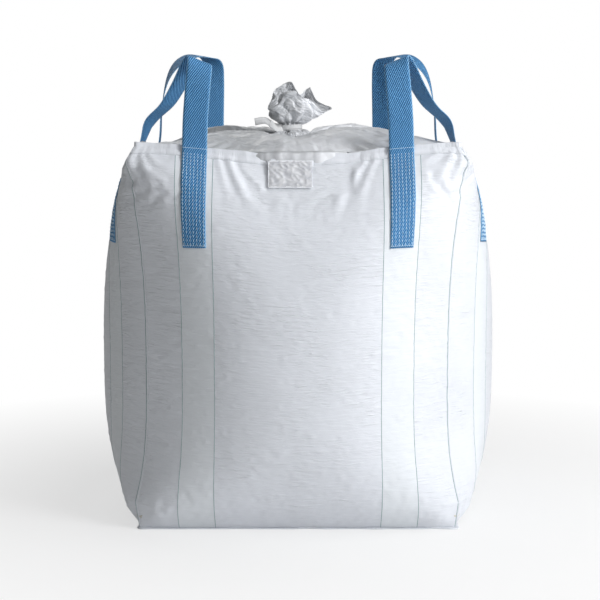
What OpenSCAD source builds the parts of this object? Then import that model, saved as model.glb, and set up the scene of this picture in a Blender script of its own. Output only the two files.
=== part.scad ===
// Filled woven bulk bag with four cross-corner lifting loops and a tied duffle top.
// Millimetres. +Z is up, -Y is the front, and the origin is the centre of the base on the ground.

/* [Bag body] */
// Flat width of each of the four wall panels
panel_w = 950; // [850:10:1050]
// Height of the top rim at the corners
rim_h = 1090; // [950:10:1250]
// Half width of the square that rests on the ground
foot_half = 452; // [430:1:470]
// Half width of the square rim
mouth_half = 450; // [430:1:470]
// Height of the widest section, as a share of the wall height
belly_share = 0.4; // [0.35:0.01:0.55]
// How far the rim droops between its corners
rim_droop = 34; // [10:1:50]
// Thickness of the fabric panels
fabric_t = 2; // [1:0.5:3]

/* [Lifting loops] */
// Width of the loop webbing
webbing_w = 70; // [50:1:80]
// Thickness of the loop webbing
webbing_t = 3; // [2:0.5:4]
// Distance from the middle of a wall to the middle of a loop leg
leg_offset = 288; // [250:1:320]
// Height of the front loops' folds above their hinge lines
front_rise = 217; // [180:1:260]
// Height of the back loops' folds, which stand straighter
back_rise = 272; // [200:1:300]

/* [Duffle top] */
// Height of the neck where the duffle is tied
neck_z = 1150; // [1120:1:1200]
// Radius of the gathered neck
neck_r = 34; // [25:1:45]
// How far the neck is off the middle, along X
neck_x = -24; // [-40:1:40]
// Height of the gathered tail above the tie
tail_h = 138; // [100:1:180]

/* [Document pouch] */
// Width of the pouch
pouch_w = 122; // [100:1:240]
// Height of the pouch
pouch_h = 84; // [70:1:100]
// How far the pouch is off the middle, along X
pouch_x = -22; // [-40:1:40]

/* [Hidden] */

fabric_white = [0.93, 0.94, 0.95];
film_grey = [0.86, 0.87, 0.89];
webbing_blue = [0.16, 0.42, 0.68];
thread_green = [0.42, 0.50, 0.50];
thread_white = [0.75, 0.86, 0.94];

belly_r = panel_w * 2 / PI;   // a circle as long round as the four panels
arc_gain = 1 - PI / 4;        // how much half width a corner radius adds at a constant girth
corner_min = 25;
half_panel = panel_w / 2;

// Shares of a half panel, from its middle to its corner
thread_offset = 52;           // from the middle of a loop leg to the marker thread on either side of it
leg_in = (leg_offset - webbing_w / 2) / half_panel;
leg_mid = leg_offset / half_panel;
leg_out = (leg_offset + webbing_w / 2) / half_panel;
thread_in = (leg_offset - thread_offset) / half_panel;
thread_out = (leg_offset + thread_offset) / half_panel;
near_corner = 0.95;
half_columns = [0, 0.17, 0.34, thread_in, leg_in, leg_mid, leg_out, thread_out, 0.86, near_corner, 1];
columns = concat([for (i = [len(half_columns) - 1:-1:1]) -half_columns[i]], half_columns);
coarse_columns = [-1, -near_corner, -leg_out, -leg_in, -0.34, -0.11, 0.11, 0.34, leg_in, leg_out,
    near_corner];

// Rows up the wall, closer together at its ends; leg_row is where a loop leg ends, at three quarters.
// Threads start a little above the base seam.
thread_foot = 0.006;
wall_rows = 15;
leg_row = 10;
rows = [for (i = [0:wall_rows]) (1 - cos(180 * i / wall_rows)) / 2];
thread_rows = [thread_foot, for (i = [1:wall_rows]) rows[i]];

hem_h = 12;
hem_t = 4;
hinge_lift = 30;      // the loop hinge line above the rim
leg_top_gap = 2;      // between the top of a leg and the hinge line
bight_gap = 9;        // between the hinge line and the tip of the bight
seam_lip = 12;
seam_t = 3;
touch_gap = 0.1;      // between a panel and what lies flat on it
sewn_gap = 1;         // between a panel or leg and the threads on it, whose facets differ a little
thread_w = 3;
thread_t = 1.2;
stitch_w = 2.4;
stitch_t = 0.8;

function half_width(v) = v < belly_share
    ? foot_half + (belly_r - foot_half) * (1 - pow(1 - v / belly_share, 3))
    : mouth_half + (belly_r - mouth_half) * (1 - pow((v - belly_share) / (1 - belly_share), 2.8));
function corner_r(v) = max(corner_min, (half_width(v) - half_panel) / arc_gain);
function rim_z(q) = rim_h - rim_droop * pow(1 - q * q, 3);

// How far along the section share q of a half panel is. Where the section is shorter than the panels, at
// the rim and the base, the spare fabric is gathered next to the corners.
gather_from = 0.75;
function along_section(share, half_section) =
    min(share, gather_from) * half_panel
    + max(0, share - gather_from) / (1 - gather_from) * (half_section - gather_from * half_panel);

// A point of the section at height share v, at share q of a half panel, moved inwards by inset
function section_point(q, v, inset) =
    let (r = corner_r(v), c = half_width(v) - r, p = along_section(abs(q), c + r * PI / 4),
         side = q < 0 ? -1 : 1, turn = max(0, p - c) / r * 180 / PI)
    [side * (min(p, c) + (r - inset) * sin(turn)), -(c + (r - inset) * cos(turn))];
function face_turn(p, face) =
    [[p[0], p[1]], [-p[1], p[0]], [-p[0], -p[1]], [p[1], -p[0]]][face];
function wall_point(face, q, v, inset) =
    let (p = face_turn(section_point(q, v, inset), face % 4)) [p[0], p[1], v * rim_z(q)];
function mix(a, b, share) = a + (b - a) * share;
// A point on the flat facet between two of the wall's columns
function facet_point(face, q0, q1, share, v, inset) =
    mix(wall_point(face, q0, v, inset), wall_point(face, q1, v, inset), share);
function lifted(p, dz) = [p[0], p[1], p[2] + dz];
function unit(a) = a / norm(a);
function flat(grid) = [for (row = grid) each row];

// A closed patch between an outer and an inner grid of points
module patch(outer, inner) {
    n = len(outer);
    m = len(outer[0]);
    function at(layer, i, j) = (layer * n + i) * m + j;
    function out_quad(i, j) = [at(0, i, j), at(0, i + 1, j), at(0, i + 1, j + 1), at(0, i, j + 1)];
    function in_quad(i, j) = [at(1, i, j), at(1, i, j + 1), at(1, i + 1, j + 1), at(1, i + 1, j)];
    quads = concat(
        [for (i = [0:n - 2], j = [0:m - 2]) each [out_quad(i, j), in_quad(i, j)]],
        [for (j = [0:m - 2]) [at(0, 0, j), at(0, 0, j + 1), at(1, 0, j + 1), at(1, 0, j)]],
        [for (j = [0:m - 2]) [at(0, n - 1, j + 1), at(0, n - 1, j), at(1, n - 1, j), at(1, n - 1, j + 1)]],
        [for (i = [0:n - 2]) [at(0, i, m - 1), at(0, i + 1, m - 1), at(1, i + 1, m - 1), at(1, i, m - 1)]],
        [for (i = [0:n - 2]) [at(0, i + 1, 0), at(0, i, 0), at(1, i, 0), at(1, i + 1, 0)]]);
    polyhedron(flat([flat(outer), flat(inner)]), halves(quads));
}

// A closed ring between an outer and an inner grid whose columns go all the way round
module ring_shell(outer, inner) {
    n = len(outer);
    m = len(outer[0]);
    function at(layer, i, j) = (layer * n + i) * m + j % m;
    function out_quad(i, j) = [at(0, i, j), at(0, i + 1, j), at(0, i + 1, j + 1), at(0, i, j + 1)];
    function in_quad(i, j) = [at(1, i, j), at(1, i, j + 1), at(1, i + 1, j + 1), at(1, i + 1, j)];
    quads = concat(
        [for (i = [0:n - 2], j = [0:m - 1]) each [out_quad(i, j), in_quad(i, j)]],
        [for (j = [0:m - 1]) [at(0, 0, j), at(0, 0, j + 1), at(1, 0, j + 1), at(1, 0, j)]],
        [for (j = [0:m - 1]) [at(0, n - 1, j + 1), at(0, n - 1, j), at(1, n - 1, j), at(1, n - 1, j + 1)]]);
    polyhedron(flat([flat(outer), flat(inner)]), halves(quads));
}

// A closed lump from stacked rings, with a point at the bottom and one at the top
module lump(rings, bottom, top) {
    n = len(rings);
    m = len(rings[0]);
    function at(i, j) = i * m + j % m;
    quads = [for (i = [0:n - 2], j = [0:m - 1]) [at(i, j), at(i + 1, j), at(i + 1, j + 1), at(i, j + 1)]];
    caps = [for (j = [0:m - 1])
        each [[n * m, at(0, j), at(0, j + 1)], [n * m + 1, at(n - 1, j + 1), at(n - 1, j)]]];
    polyhedron(concat(flat(rings), [bottom, top]), concat(halves(quads), caps));
}
function halves(quads) = [for (f = quads) each [[f[0], f[1], f[2]], [f[0], f[2], f[3]]]];

function wall_grid(face, cols, vs, inset) = [for (v = vs) [for (q = cols) wall_point(face, q, v, inset)]];

module wall_panel(face) {
    color(fabric_white)
        patch(wall_grid(face, columns, rows, 0), wall_grid(face, columns, rows, fabric_t));
}

module base_panel() {
    color(fabric_white)
        linear_extrude(fabric_t)
            polygon([for (face = [0:3], q = [for (i = [1:len(columns) - 1]) columns[i]])
                let (p = wall_point(face, q, 0, fabric_t)) [p[0], p[1]]]);
}

function ring(cols, v, inset, dz) =
    [for (face = [0:3], q = cols) lifted(wall_point(face, q, v, inset), dz)];
open_columns = [for (i = [0:len(columns) - 2]) columns[i]];

// Folded seam allowance that stands along the rim
module rim_hem() {
    color(fabric_white)
        ring_shell([ring(open_columns, 1, 0, 0), ring(open_columns, 1, 0, hem_h)],
                   [ring(open_columns, 1, hem_t, 0), ring(open_columns, 1, hem_t, hem_h)]);
}

// Seam lip that lies on the ground round the base
module base_seam() {
    share = seam_t / (rows[1] * rim_h);
    function lip_point(face, q, out) =
        out ? lifted(wall_point(face, q, 0, -seam_lip), seam_t)
            : mix(wall_point(face, q, 0, -touch_gap), wall_point(face, q, rows[1], -touch_gap), share);
    color(fabric_white)
        ring_shell([ring(open_columns, 0, -seam_lip, 0),
                    [for (face = [0:3], q = open_columns) lip_point(face, q, true)]],
                   [ring(open_columns, 0, -touch_gap, 0),
                    [for (face = [0:3], q = open_columns) lip_point(face, q, false)]]);
}

// Stitched seam between wall panel number face and the next one
module corner_seam(face) {
    function seam_row(v, inset) = [
        facet_point(face, near_corner, 1, 0.85, v, inset),
        wall_point(face, 1, v, inset),
        facet_point(face + 1, -near_corner, -1, 0.85, v, inset)];
    color(thread_green)
        patch([for (v = thread_rows) seam_row(v, -sewn_gap - thread_t)],
              [for (v = thread_rows) seam_row(v, -sewn_gap)]);
}

// Four woven marker threads that flank the two loop legs of a wall
module marker_threads(face) {
    half = thread_w / 2 / half_panel;
    color(thread_green)
        for (q = [-thread_out, -thread_in, thread_in, thread_out])
            patch(wall_grid(face, [q - half, q + half], thread_rows, -sewn_gap - thread_t),
                  wall_grid(face, [q - half, q + half], thread_rows, -sewn_gap));
}

leg_rows = [for (i = [leg_row:wall_rows]) rows[i]];
hinge_z = rim_z(leg_mid) + hinge_lift;

// Sewn webbing leg; side is -1 left or 1 right of the wall's middle, seen from outside
module loop_leg(face, side) {
    cols = side > 0 ? [leg_in, leg_mid, leg_out] : [-leg_out, -leg_mid, -leg_in];
    function level(p) = [p[0], p[1], hinge_z - leg_top_gap];
    function leg_grid(inset) = concat(wall_grid(face, cols, leg_rows, inset),
        [[for (q = cols) level(wall_point(face, q, 1, inset))]]);
    color(webbing_blue)
        patch(leg_grid(-webbing_t), leg_grid(0));
}

// Rows of stitches that hold the two legs of a wall. They follow the facets of the webbing below them,
// so each row has a point where it crosses the diagonal of each facet.
module leg_stitching(face) {
    half = stitch_w / webbing_w;
    bottom = -webbing_t - sewn_gap;
    function level_pair(span, share, i, inset) =
        [for (edge = [-half, half]) facet_point(face, span[0], span[1], share + edge, rows[i], inset)];
    function diagonal_pair(span, share, i, inset) =
        [for (edge = [-half, half]) mix(wall_point(face, span[0], rows[i], inset),
                                        wall_point(face, span[1], rows[i + 1], inset), share + edge)];
    function stitch_grid(span, share, inset) = [for (i = [leg_row:wall_rows - 1])
        each i < wall_rows - 1 ? [level_pair(span, share, i, inset), diagonal_pair(span, share, i, inset)]
                               : [level_pair(span, share, i, inset)]];
    color(thread_white)
        for (span = [[-leg_out, -leg_mid], [-leg_mid, -leg_in], [leg_in, leg_mid], [leg_mid, leg_out]],
             share = [0.2, 0.7])
            patch(stitch_grid(span, share, bottom - stitch_t), stitch_grid(span, share, bottom));
}

// The free part of a loop, for the front right corner. Its route is from the first leg over the fold
// and down to the side leg. Each stop says where the webbing's middle is, as shares of the way across
// the corner and of the rise, and which way its width points.
loop_start = [section_point(leg_mid, 1, 0)[0], -mouth_half - webbing_t / 2, hinge_z];
loop_run = mouth_half + webbing_t / 2 - loop_start[0];
front_stops = [
    [[0, 0, 0],           [1, 0, 0]],
    [[-0.02, 0, 0.28],    [1, 0, 0]],
    [[-0.06, 0.02, 0.66], [1, -0.03, 0.03]],
    [[-0.09, 0.08, 0.92], [0.95, -0.2, 0.22]],
    [[-0.05, 0.22, 1],    [0.82, -0.48, 0.32]],
    [[0.08, 0.4, 0.93],   [0.68, -0.7, 0.2]],
    [[0.29, 0.61, 0.7],   [0.54, -0.83, 0.08]],
    [[0.54, 0.8, 0.43],   [0.4, -0.92, 0]],
    [[0.87, 0.96, 0.26],  [0.2, -0.98, 0]],
    [[1, 1, 0],           [0, -1, 0]]];
back_stops = [
    [[0, 0, 0],           [1, 0, 0]],
    [[-0.01, 0, 0.35],    [1, 0, 0]],
    [[-0.02, 0.02, 0.72], [1, -0.05, 0]],
    [[0, 0.09, 0.92],     [0.96, -0.24, 0.1]],
    [[0.16, 0.25, 1],     [0.85, -0.5, 0.16]],
    [[0.42, 0.5, 1],      [0.66, -0.72, 0.14]],
    [[0.68, 0.72, 0.89],  [0.45, -0.88, 0.1]],
    [[0.88, 0.9, 0.66],   [0.2, -0.98, 0]],
    [[0.98, 0.98, 0.32],  [0.05, -1, 0]],
    [[1, 1, 0],           [0, -1, 0]]];

// Catmull-Rom through a list, at stop i and share t of the way to the next
function stop(list, i) = list[max(0, min(len(list) - 1, i))];
function spline(list, i, t) =
    let (a = stop(list, i - 1), b = stop(list, i), c = stop(list, i + 1), d = stop(list, i + 2))
    0.5 * (2 * b + (c - a) * t + (2 * a - 5 * b + 4 * c - d) * t * t + (3 * b - a - 3 * c + d) * t * t * t);

module front_right_bight(stops, rise) {
    half = webbing_w / 2 - 1;
    steps_per_stop = 3;
    steps = steps_per_stop * (len(stops) - 1);
    route = [for (s = stops) loop_start + [s[0][0] * loop_run, s[0][1] * loop_run, s[0][2] * rise]];
    widths = [for (s = stops) s[1]];
    function route_at(s) = spline(route, floor(s / steps_per_stop), s / steps_per_stop % 1);
    function heading_at(s) = unit(route_at(min(s + 0.5, steps - 0.01)) - route_at(max(s - 0.5, 0)));
    function width_at(s) =
        let (t = heading_at(s), w = spline(widths, floor(s / steps_per_stop), s / steps_per_stop % 1))
        unit(w - (w * t) * t);
    // Both ends are cut to a point, so that the webbing clears its legs as it swings
    function end_rise(share) = bight_gap + abs(share) * half / sqrt(2);
    function end_row(p, w, n, out) =
        [for (share = [-1, 0, 1]) let (c = p + w * share * half + n * out)
            [c[0], c[1], hinge_z + end_rise(share)]];
    function bight_row(s, out) =
        s == 0 ? end_row(route[0], [1, 0, 0], [0, -1, 0], -out)
        : s == steps ? end_row(route[len(route) - 1], [0, -1, 0], [1, 0, 0], -out)
        : let (p = route_at(s), w = width_at(s), n = cross(heading_at(s), w))
          [for (share = [-1, 0, 1]) p + w * share * half + n * out];
    stations = [0, for (s = [2:1:steps - 2]) s, steps];
    color(webbing_blue)
        patch([for (s = stations) bight_row(s, -webbing_t / 2)],
              [for (s = stations) bight_row(s, webbing_t / 2)]);
}
module loop_bight(x, y) {
    mirror([x < 0 ? 1 : 0, 0, 0])
        mirror([0, y > 0 ? 1 : 0, 0])
            front_right_bight(y > 0 ? back_stops : front_stops, y > 0 ? back_rise : front_rise);
}

// The duffle rises from inside the rim in a flat dome to its gathered neck
skirt_shares = [0, 0.06, 0.16, 0.3, 0.46, 0.62, 0.78, 0.9];
skirt_inset = hem_t + 0.6;
skirt_start = 8;      // the skirt leaves the rim this far above the wall
dome_z = neck_z - 18;
function skirt_point(face, q, share, drop) =
    let (rim = wall_point(face, q, 1, skirt_inset), angle = atan2(rim[1], rim[0]),
         neck = [neck_x + neck_r * cos(angle), neck_r * sin(angle)], start = rim_z(q) + skirt_start)
    [mix(rim[0], neck[0], share), mix(rim[1], neck[1], share), mix(dome_z, start, pow(1 - share, 3)) - drop];
function skirt_ring(share, drop) = [for (face = [0:3], q = coarse_columns) skirt_point(face, q, share, drop)];
function neck_ring(z, r) =
    [for (p = skirt_ring(0, 0)) let (a = atan2(p[1], p[0])) [neck_x + r * cos(a), r * sin(a), z]];

module duffle_skirt() {
    neck_in = neck_r - fabric_t;
    color(film_grey)
        ring_shell(concat([for (s = skirt_shares) skirt_ring(s, 0)],
                          [neck_ring(dome_z, neck_r), neck_ring(neck_z, neck_r)]),
                   concat([for (s = skirt_shares) skirt_ring(s, fabric_t)],
                          [neck_ring(dome_z - fabric_t, neck_in), neck_ring(neck_z, neck_in)]));
}

// Woven tape round the neck, with two short free ends
module duffle_tie() {
    tape_w = 16;
    tape_t = 3;
    tape_in = neck_r + 0.2;
    ends = [[170, 62], [205, 48]];    // which way each end points, and its length
    color(fabric_white)
        translate([neck_x, 0, neck_z - tape_w]) {
            difference() {
                cylinder(h = tape_w, r = tape_in + tape_t, $fn = 48);
                translate([0, 0, -1])
                    cylinder(h = tape_w + 2, r = tape_in, $fn = 48);
            }
            for (end = ends)
                rotate([0, 0, end[0]])
                    translate([tape_in + tape_t - 0.7, -tape_t / 2, 1])
                        cube([end[1], tape_t, tape_w - 2]);
        }
}

// The gathered tail turns in the neck on a rounded lower end. Each stop says how high a ring is, in ball
// radii below the pivot or in fifths of the height above it, and its radius in ball radii.
tail_pivot_z = neck_z + 26;
tail_ball = 22;
tail_stops = [[-0.92, 0.4], [-0.7, 0.714], [-0.35, 0.937], [0.2, 1.3], [0.9, 2.2], [1.9, 3.4], [3.1, 3.7],
    [4.1, 3.1], [4.8, 1.9]];
module duffle_tail() {
    folds = 5;
    fold_depth = 0.14;
    top_z = neck_z + tail_h;
    function ring_r(stop, a) = tail_ball * stop[1] * (1 + (stop[0] > 0 ? fold_depth * cos(folds * a) : 0));
    function ring_z(stop) = tail_pivot_z + stop[0] * (stop[0] < 0 ? tail_ball : (top_z - tail_pivot_z) / 5);
    color(film_grey)
        translate([neck_x, 0, 0])
            lump([for (stop = tail_stops) [for (a = [0:15:345])
                    [ring_r(stop, a) * cos(a), ring_r(stop, a) * sin(a), ring_z(stop)]]],
                 [0, 0, tail_pivot_z - tail_ball], [0, 0, top_z]);
}

// A clear wallet that hangs from a strip under the middle of the front rim, and opens at its right end
pouch_lean = 29;
pouch_t = 2.6;
pouch_edge = 4;       // welded edge of the wallet
film_t = 0.5;
card_t = 0.6;
pouch_y = -464;
pouch_z = 1051;
pouch_drop = 3;       // from the pivot to the wallet's top edge
module at_pouch() {
    translate([pouch_x, pouch_y, pouch_z])
        rotate([-pouch_lean, 0, 0])
            translate([-pouch_w / 2, 0, -pouch_h - pouch_drop])
                children();
}
module document_pouch() {
    color([0.85, 0.88, 0.92, 0.6])
        at_pouch()
            difference() {
                translate([0, -pouch_t / 2, 0])
                    cube([pouch_w, pouch_t, pouch_h]);
                translate([pouch_edge, -pouch_t / 2 + film_t, pouch_edge])
                    cube([pouch_w, pouch_t - 2 * film_t, pouch_h - 2 * pouch_edge]);
            }
}
module document_card() {
    margin = pouch_edge + 2;
    color("white")
        at_pouch()
            translate([margin, -card_t / 2, margin])
                cube([pouch_w - 2 * margin, card_t, pouch_h - 2 * margin]);
}
module pouch_hem_strip() {
    strip_t = 3;
    strip_rows = [rows[wall_rows - 1], 1];
    strip_middle = pouch_x / half_panel;
    strip_columns = [for (side = [-1:1]) strip_middle + side * pouch_w / 2 / half_panel];
    color(fabric_white)
        patch(wall_grid(0, strip_columns, strip_rows, -strip_t - sewn_gap),
              wall_grid(0, strip_columns, strip_rows, -sewn_gap));
}

// The bag's contents, which give it its shape
module bulk_fill() {
    fill_gap = 9;
    dome_gap = 18;
    floor_z = fabric_t + 1;
    floor_ring = [for (p = ring(coarse_columns, 0, fill_gap, 0)) [p[0], p[1], floor_z]];
    wall = [for (i = [1:wall_rows - 1]) ring(coarse_columns, rows[i], fill_gap, 0)];
    dome = [for (share = [0.02, 0.08, 0.2, 0.35, 0.55, 0.8]) skirt_ring(share, dome_gap)];
    color([0.8, 0.78, 0.72])
        lump(concat([floor_ring], wall, dome), [0, 0, floor_z], [neck_x, 0, dome_z - dome_gap]);
}

wall_panel(0);  // front_panel
wall_panel(1);  // right_panel
wall_panel(2);  // back_panel
wall_panel(3);  // left_panel
base_panel();
rim_hem();
base_seam();
corner_seam(0);  // front_right_corner_seam
corner_seam(1);  // back_right_corner_seam
corner_seam(2);  // back_left_corner_seam
corner_seam(3);  // front_left_corner_seam
marker_threads(0);  // front_marker_threads
marker_threads(1);  // right_marker_threads
marker_threads(2);  // back_marker_threads
marker_threads(3);  // left_marker_threads
loop_leg(0, 1);  // front_right_loop_front_leg
loop_leg(1, -1);  // front_right_loop_side_leg
loop_bight(1, -1);  // front_right_loop_bight
loop_leg(2, -1);  // back_right_loop_back_leg
loop_leg(1, 1);  // back_right_loop_side_leg
loop_bight(1, 1);  // back_right_loop_bight
loop_leg(2, 1);  // back_left_loop_back_leg
loop_leg(3, -1);  // back_left_loop_side_leg
loop_bight(-1, 1);  // back_left_loop_bight
loop_leg(0, -1);  // front_left_loop_front_leg
loop_leg(3, 1);  // front_left_loop_side_leg
loop_bight(-1, -1);  // front_left_loop_bight
leg_stitching(0);  // front_leg_stitching
leg_stitching(1);  // right_leg_stitching
leg_stitching(2);  // back_leg_stitching
leg_stitching(3);  // left_leg_stitching
duffle_skirt();
duffle_tie();
duffle_tail();
document_pouch();
document_card();
pouch_hem_strip();
bulk_fill();
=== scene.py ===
"""Looks of a filled woven bulk bag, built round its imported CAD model. Metres, +Z up, front at -Y."""

import math

import bpy
import numpy as np
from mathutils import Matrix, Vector


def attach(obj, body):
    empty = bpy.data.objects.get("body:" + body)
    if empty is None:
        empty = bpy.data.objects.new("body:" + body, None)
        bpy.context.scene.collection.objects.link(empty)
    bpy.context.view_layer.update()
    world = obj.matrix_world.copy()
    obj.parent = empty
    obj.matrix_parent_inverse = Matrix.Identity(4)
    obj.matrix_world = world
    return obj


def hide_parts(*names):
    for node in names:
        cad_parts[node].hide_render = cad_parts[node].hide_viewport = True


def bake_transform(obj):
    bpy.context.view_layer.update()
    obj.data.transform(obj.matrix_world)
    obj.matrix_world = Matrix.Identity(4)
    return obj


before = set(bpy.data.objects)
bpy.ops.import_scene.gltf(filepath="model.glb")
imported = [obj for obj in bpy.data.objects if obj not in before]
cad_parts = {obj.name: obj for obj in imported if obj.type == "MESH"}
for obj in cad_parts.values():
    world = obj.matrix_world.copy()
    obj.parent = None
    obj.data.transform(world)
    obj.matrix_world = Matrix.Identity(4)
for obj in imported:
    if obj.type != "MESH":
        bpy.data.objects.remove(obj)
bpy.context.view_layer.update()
scene = bpy.context.scene

# Sizes of the CAD model
PANEL_W = 0.95
HALF_PANEL = PANEL_W / 2
RIM_H = 1.09                      # at the corners; the rim droops between them
RIM_DROOP = 0.034
FOOT_HALF = 0.452                 # half widths of the bag at the ground and at the rim
MOUTH_HALF = 0.45
BELLY_R = 2 * PANEL_W / math.pi   # where the bag is widest, its section is a full circle
BELLY_SHARE = 0.4                 # height of the widest place, as a share of the wall
ARC_GAIN = 1 - math.pi / 4        # panel length that a rounded corner saves, for each unit of its radius
GATHER_FROM = 0.75                # share of the half panel beyond which spare fabric is gathered
LEG_OFFSET = 0.288                # from the middle of a wall to the middle of a loop's leg
LEG_FOOT = 0.75                   # height of a leg's lower end, as a share of the wall
WEBBING_W = 0.07
WEBBING_T = 0.003
HINGE_GAP = 0.03                  # from the rim up to the line that a loop folds about
FRONT_RISE = 0.217                # from that line to the top of a loop
BACK_RISE = 0.272
THREAD_OFFSET = 0.052             # from the middle of a leg to the marker thread on either side
NECK_X = -0.024
NECK_Z = 1.15
DOME_Z = NECK_Z - 0.018
POUCH_PIVOT = Vector((-0.022, -0.464, 1.051))
POUCH_LEAN = math.radians(29)
POUCH_W = 0.122
POUCH_H = 0.084
POUCH_DROP = 0.003                # from the pivot down to the wallet's upper edge

# Sizes of the looks
FABRIC_T = 0.0012
SIM_COLUMNS = 72                  # of one wall panel, in the simulation
SIM_ROWS = 84
CORNER_TIP = 0.010                # radius of the pinched corners at the rim and the base
FLOOR_GAP = 0.0015                # from the ground to the walls' lower edge
BASE_Z = 0.0012
WRINKLE_CAP = 0.012               # how far a wrinkle of the wall may stand out
POUCH_GAP = 0.0045                # from the wallet's plane to the wall behind it
SKIRT_FLAT = (4 * PANEL_W, 0.5)
SKIRT_COLUMNS = 208
SKIRT_ROWS = 46
TAIL_PATTERN = (0.5, 0.16)        # length and height over which the pattern on the tail is laid
TAIL_COLUMNS = 160
TAIL_ROWS = 44
STITCH_PITCH = 0.011
CONTENTS_COLUMNS = 48

ACROSS = np.linspace(-1, 1, 11)   # places across a loop's webbing, in half widths
MID_ACROSS = len(ACROSS) // 2
UP = np.array([0, 0, 1.0])
LEVEL = np.array([1, 1, 0])       # flattens a vector onto the ground
WALLS = ("front", "right", "back", "left")
CORNERS = {"front_right": (1, -1), "back_right": (1, 1), "back_left": (-1, 1), "front_left": (-1, -1)}

# Folds of the wall below the rim, beside each leg and each corner: reach to the side, drop and depth
LEG_FOLDS = ((0.07, 0.16, 0.00238), (0.13, 0.19, 0.0051), (0.2, 0.15, 0.00238), (0.2, 0.08, 0.00238))
TIP_FOLDS = ((0.03, 0.14, 0.0032), (0.075, 0.12, 0.0032), (0.11, 0.07, 0.0032))

# Sections of a thread and of a flat tape, in half widths, and the faces of one raised dash of stitching
THREAD_SHAPE = ((-1, -0.3), (-0.75, 0.7), (0, 1), (0.75, 0.7), (1, -0.3))
TAPE_SHAPE = ((-1, -1), (-1, 1), (-0.33, 1), (0.33, 1), (1, 1), (1, -1), (0.33, -1), (-0.33, -1))
DASH_FACES = ((0, 1, 5, 4), (1, 2, 5), (2, 3, 4, 5), (3, 0, 4))

# The free parts of the loops, as in the CAD model: shares of the way across the corner and of the rise,
# and which way the width points
FRONT_STOPS = (
    ((0, 0, 0), (1, 0, 0)),
    ((-0.02, 0, 0.28), (1, 0, 0)),
    ((-0.06, 0.02, 0.66), (1, -0.03, 0.03)),
    ((-0.09, 0.08, 0.92), (0.95, -0.2, 0.22)),
    ((-0.05, 0.22, 1), (0.82, -0.48, 0.32)),
    ((0.08, 0.4, 0.93), (0.68, -0.7, 0.2)),
    ((0.29, 0.61, 0.7), (0.54, -0.83, 0.08)),
    ((0.53, 0.8, 0.44), (0.52, -0.85, 0)),
    ((0.82, 0.95, 0.24), (0.42, -0.9, 0)),
    ((1, 1, 0), (0, -1, 0)))
BACK_STOPS = (
    ((0, 0, 0), (1, 0, 0)),
    ((-0.01, 0, 0.35), (1, 0, 0)),
    ((-0.02, 0.02, 0.72), (1, -0.05, 0)),
    ((0, 0.09, 0.92), (0.96, -0.24, 0.1)),
    ((0.16, 0.25, 1), (0.85, -0.5, 0.16)),
    ((0.42, 0.5, 1), (0.66, -0.72, 0.14)),
    ((0.68, 0.72, 0.89), (0.45, -0.88, 0.1)),
    ((0.88, 0.9, 0.66), (0.2, -0.98, 0)),
    ((0.98, 0.98, 0.32), (0.05, -1, 0)),
    ((1, 1, 0), (0, -1, 0)))

# Mounds and hollows of the duffle's dome: lift, direction and spread in degrees, then the same in shares of
# the way from the rim to the neck
SKIRT_SWELLS = (
    (0.012, 180, 42, 0.42, 0.26),
    (0.020, 5, 42, 0.42, 0.27),
    (0.004, 90, 50, 0.35, 0.25),
    (0.020, -72, 30, 0.32, 0.22),
    (-0.016, -140, 20, 0.7, 0.22),
    (-0.012, -25, 14, 0.62, 0.25),
    (-0.012, -112, 9, 0.45, 0.35))

# Edge of the duffle's film, lowest row first: outwards and upwards from the rim, tucked in, then lapped over
EDGE_PROFILE = (
    (-0.004, -0.020, 0.0125, -0.030),
    (-0.003, -0.014, 0.0145, -0.020),
    (-0.003, -0.008, 0.0125, -0.009),
    (-0.002, -0.002, 0.0120, 0.004),
    (-0.002, 0.003, 0.004, 0.014))

# Edge of the flared tail, as seen from above counter-clockwise from +X
TAIL_EDGE = (
    (0.108, -0.004, 1.210), (0.074, 0.020, 1.228), (0.046, 0.036, 1.264), (0.030, 0.040, 1.240),
    (0.004, 0.036, 1.276), (-0.016, 0.040, 1.272), (-0.034, 0.028, 1.258), (-0.046, 0.014, 1.238),
    (-0.054, 0.000, 1.216), (-0.050, -0.018, 1.210), (-0.036, -0.032, 1.232), (-0.014, -0.036, 1.250),
    (0.012, -0.034, 1.250), (0.034, -0.040, 1.232), (0.062, -0.034, 1.224), (0.088, -0.026, 1.196))
TIE_ENDS = (
    ((-0.036, -0.012, 1.146), (-0.060, -0.020, 1.150), (-0.086, -0.026, 1.166), (-0.118, -0.030, 1.162)),
    ((-0.030, -0.022, 1.144), (-0.048, -0.046, 1.140), (-0.062, -0.070, 1.150), (-0.070, -0.094, 1.158)))

random = np.random.default_rng(7)


# ---------------------------------------------------------------- camera, light and floor

def look_from(place, target):
    return (Vector(target) - Vector(place)).to_track_quat("-Z", "Y").to_euler()


def make_camera():
    """Stands in front of the bag, a little above the middle of it."""
    data = bpy.data.cameras.new("camera")
    data.lens = 86.8
    camera = bpy.data.objects.new("camera", data)
    camera.location = (0.0, -4.5, 1.1)
    camera.rotation_euler = look_from(camera.location, (0.006, 0, 0.609))
    scene.collection.objects.link(camera)
    scene.camera = camera


def make_area_light(name, place, target, size, power, colour=(1, 1, 1)):
    data = bpy.data.lights.new(name, "AREA")
    data.shape = "RECTANGLE"
    data.size, data.size_y = size
    data.energy = power
    data.color = colour
    light = bpy.data.objects.new(name, data)
    light.location = place
    light.rotation_euler = look_from(place, target)
    scene.collection.objects.link(light)


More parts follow.
